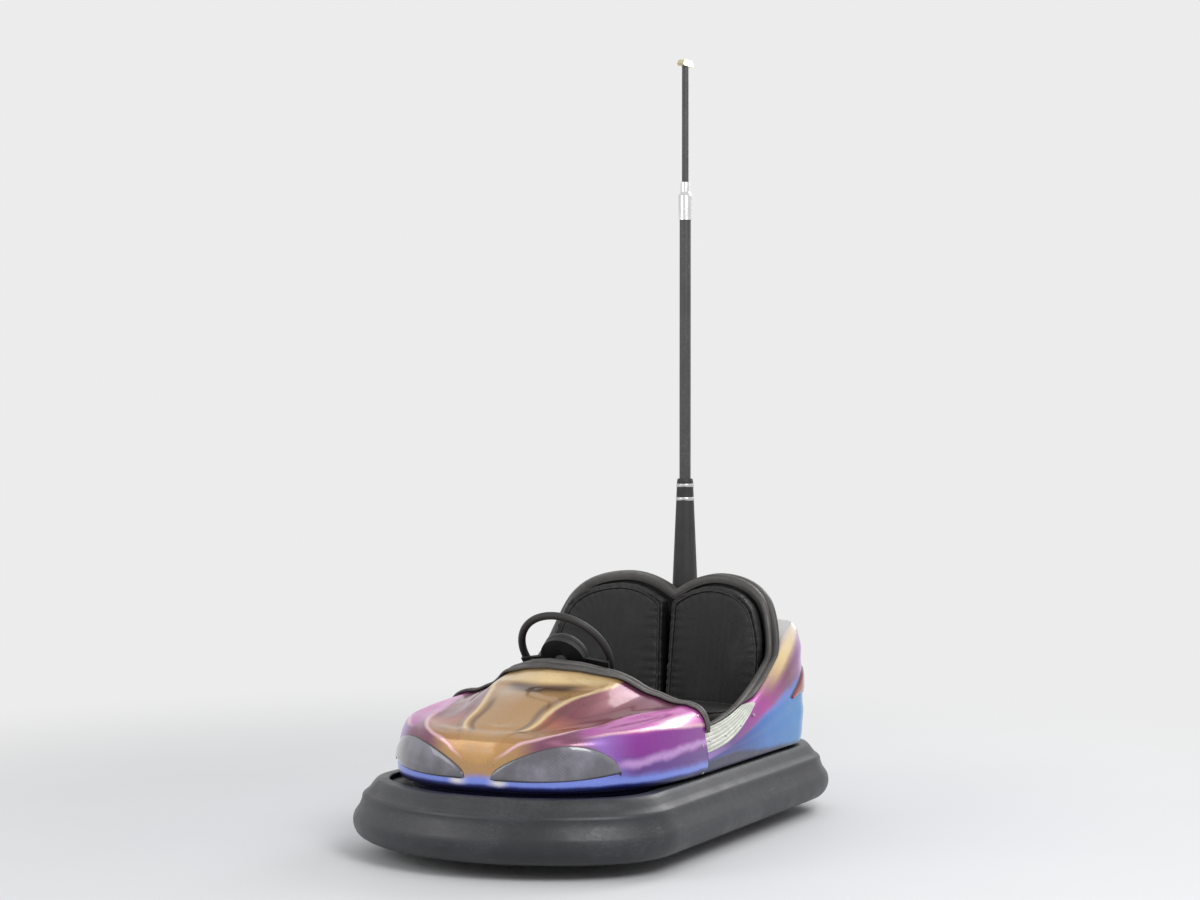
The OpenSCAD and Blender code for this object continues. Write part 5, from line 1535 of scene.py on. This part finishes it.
for sideName, turned in sides:
    ring = tube(sideName + "HighLampFrame", humpFrame(turned), hump["frameR"], 60)
    dress(ring, edgingRubber)
print("lamp frames ready")

# Pole: clamp bands round the boot, with their screws
poleX = sum(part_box("pole_tube")[n][0] for n in (0, 1)) / 2
bandProfile = [(24.5, 0), (31.6, 0), (32.2, 0.8), (32.2, 11.2), (31.6, 12), (24.5, 12)]
bandScrews = []
for n, (z, grow) in enumerate(((1.17, 1.0), (1.12, 1.065))):
    band = spun("bootBand%d" % (n + 1), [(r * grow, h) for r, h in bandProfile], (poleX, 0, z), (0, 0, 1), 48)
    dress(band, bareSteel)
    bandScrews.append((np.array((poleX - 0.0318 * grow, 0.0, z + 0.006)), (-1.0, 0.0, 0.0)))
screws("bandScrews", bandScrews, 0.006, 0.007)
print("pole details ready")

# Drive motor: a housing with cooling ribs along it, and a smooth end cap
motorBox = [np.array(corner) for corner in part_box("drive_motor")]
motorR = (motorBox[1][2] - motorBox[0][2]) / 2 * 1000
motorL = (motorBox[1][1] - motorBox[0][1]) * 1000
motorMiddle = (motorBox[0] + motorBox[1]) / 2


def ribbed(a, t):
    # Ribs round the middle of the housing's length
    if t < 0.16 or t > 0.8:
        return 1.0
    return 0.9 + 0.1 * min(1.0, max(0.0, 0.5 + 1.6 * math.sin(26 * a)))


motorProfile = [(20, 0), (motorR, 0), (motorR, 8), (0.96 * motorR, 9), (0.96 * motorR, 12)]
motorProfile += [(0.975 * motorR, 12 + (motorL - 32) * n / 6) for n in range(7)]
motorProfile += [(0.955 * motorR, motorL - 19), (0.955 * motorR, motorL - 10), (0.86 * motorR, motorL - 3),
                 (0.7 * motorR, motorL), (0.3 * motorR, motorL), (0.28 * motorR, motorL - 2),
                 (0.05, motorL - 2)]
motorFoot = (motorMiddle[0], motorBox[0][1], motorMiddle[2])
motor = spun("motorHousing", motorProfile, motorFoot, (0, 1, 0), 208, ribbed)
dress(motor, castIron, "drive_unit", ("drive_motor",))
print("motor ready")


# Tyres: solid rubber with rounded shoulders, moulded rings on the walls and two grooves round the tread
def tyrePiece(name, node, bodyName, inside):
    box = [np.array(corner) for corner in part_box(node)]
    r, half = (box[1][2] - box[0][2]) / 2 * 1000, (box[1][1] - box[0][1]) / 2 * 1000
    wall = [(inside, -half + 2.2), (inside + 3, -half + 1), (r - 22, -half + 0.6), (r - 19, -half),
            (r - 15, -half), (r - 12, -half + 0.8), (r - 7, -half + 2.2), (r - 2.6, -half + 6.5)]
    tread = [(r - 0.4, -half + 12), (r, -half + 14), (r, -half / 3 - 1.8), (r - 3, -half / 3 - 1),
             (r - 3, -half / 3 + 1), (r, -half / 3 + 1.8), (r, 0)]
    one = wall + tread
    piece = spun(name, one + [(a, -b) for a, b in one[-2::-1]], (box[0] + box[1]) / 2, (0, 1, 0), 96)
    dress(piece, wheelRubber, bodyName, (node,))


tyrePiece("driveTyre", "drive_tyre", "drive_wheel", 76)
tyrePiece("rearTyreLeft", "rear_tyre_left", "rear_wheel_left", 52)
tyrePiece("rearTyreRight", "rear_tyre_right", "rear_wheel_right", 52)
print("tyres ready")

# Finishes of the nodes that are shown as they are
nodeFinishes = ((steelPaint, ("chassis_pan", "bumper_channel", "steering_column", "steering_tower",
                              "pole_base", "rear_axle", "drive_fork")),
                (tubPlastic, ("seat_tub", "dash_panel")), (matRubber, ("floor_mat",)),
                (bareSteel, ("pedal", "steering_shaft")), (redLens, ("high_lamp_left", "high_lamp_right")),
                (bootRubber, ("pole_boot",)), (poleSteel, ("pole_tube", "pole_rod")),
                (ferruleMetal, ("pole_ferrule",)), (shoeMetal, ("contact_shoe",)),
                (castIron, ("drive_hub", "rear_hub_left", "rear_hub_right")), (gripRubber, ("steering_rim",)))
for finish, names in nodeFinishes:
    for name in names:
        nodes[name].data.materials.clear()
        nodes[name].data.materials.append(finish)
print("node finishes ready")


# Camera, floor, light and world

def backdropRays(tree):
    # The rays that see the plain backdrop: from the camera, and through or off glass and metal
    rays = addNode(tree, "ShaderNodeLightPath")
    seen = sums(tree, "MAXIMUM", rays.outputs["Is Camera Ray"], rays.outputs["Is Transmission Ray"])
    return sums(tree, "MAXIMUM", seen, rays.outputs["Is Glossy Ray"])


# The photo's viewing angle, with a long lens so that the car and its pole fill the frame
cameraData = bpy.data.cameras.new("viewCamera")
cameraData.lens = 74
cameraData.sensor_width = 36
cameraData.dof.use_dof = False
scene.camera = aimed("viewCamera", cameraData, (7.61, 3.83, 1.5), (-0.02, 0.0, 1.32))
scene.view_settings.view_transform = "Standard"

bpy.ops.object.select_all(action="DESELECT")
bpy.ops.mesh.primitive_plane_add(size=60, location=(0, 0, 0))
floor = bpy.context.object
floor.name = "floor"
backdrop = 0.84
material, tree, shader, place = startMaterial("paleFloor")
tone = blendColors(tree, noiseAt(tree, place, 1.2, 4.0), (0.78, 0.78, 0.79), (0.82, 0.82, 0.83))
feed(tree, shader, "Base Color", tone)
feed(tree, shader, "Roughness", 0.6)
feed(tree, shader, "Specular IOR Level", 0.2)
away = addNode(tree, "ShaderNodeVectorMath", {0: place}, operation="LENGTH").outputs["Value"]
far = addNode(tree, "ShaderNodeEmission", {"Color": (backdrop, backdrop, backdrop, 1.0)})
mask = product(tree, step(tree, away, 1.4, 4.6), backdropRays(tree))
faded = addNode(tree, "ShaderNodeMixShader", {0: mask, 1: shader.outputs[0], 2: far.outputs[0]})
feed(tree, next(n for n in tree.nodes if n.type == "OUTPUT_MATERIAL"), "Surface", faded.outputs[0])
floor.data.materials.append(material)


def areaLight(name, place, target, size, power):
    data = bpy.data.lights.new(name, "AREA")
    data.shape = "RECTANGLE"
    data.size, data.size_y = size
    data.energy = power
    aimed(name, data, place, target)


areaLight("keyLight", (3.2, 4.2, 4.6), (0, 0, 0.5), (2.6, 2.6), 185)
areaLight("fillLight", (4.5, -3.5, 2.8), (0, 0, 0.5), (3.0, 3.0), 60)
areaLight("backLight", (-4.2, 1.5, 4.0), (-0.3, 0, 0.6), (2.4, 2.4), 95)
world = bpy.data.worlds.new("studio")
scene.world = world
world.use_nodes = True
tree = world.node_tree
background = next(n for n in tree.nodes if n.type == "BACKGROUND")
sky = blendColors(tree, backdropRays(tree), (0.5, 0.51, 0.52), (backdrop, backdrop, backdrop))
feed(tree, background, "Color", sky)
feed(tree, background, "Strength", 1.0)
print("stage ready")
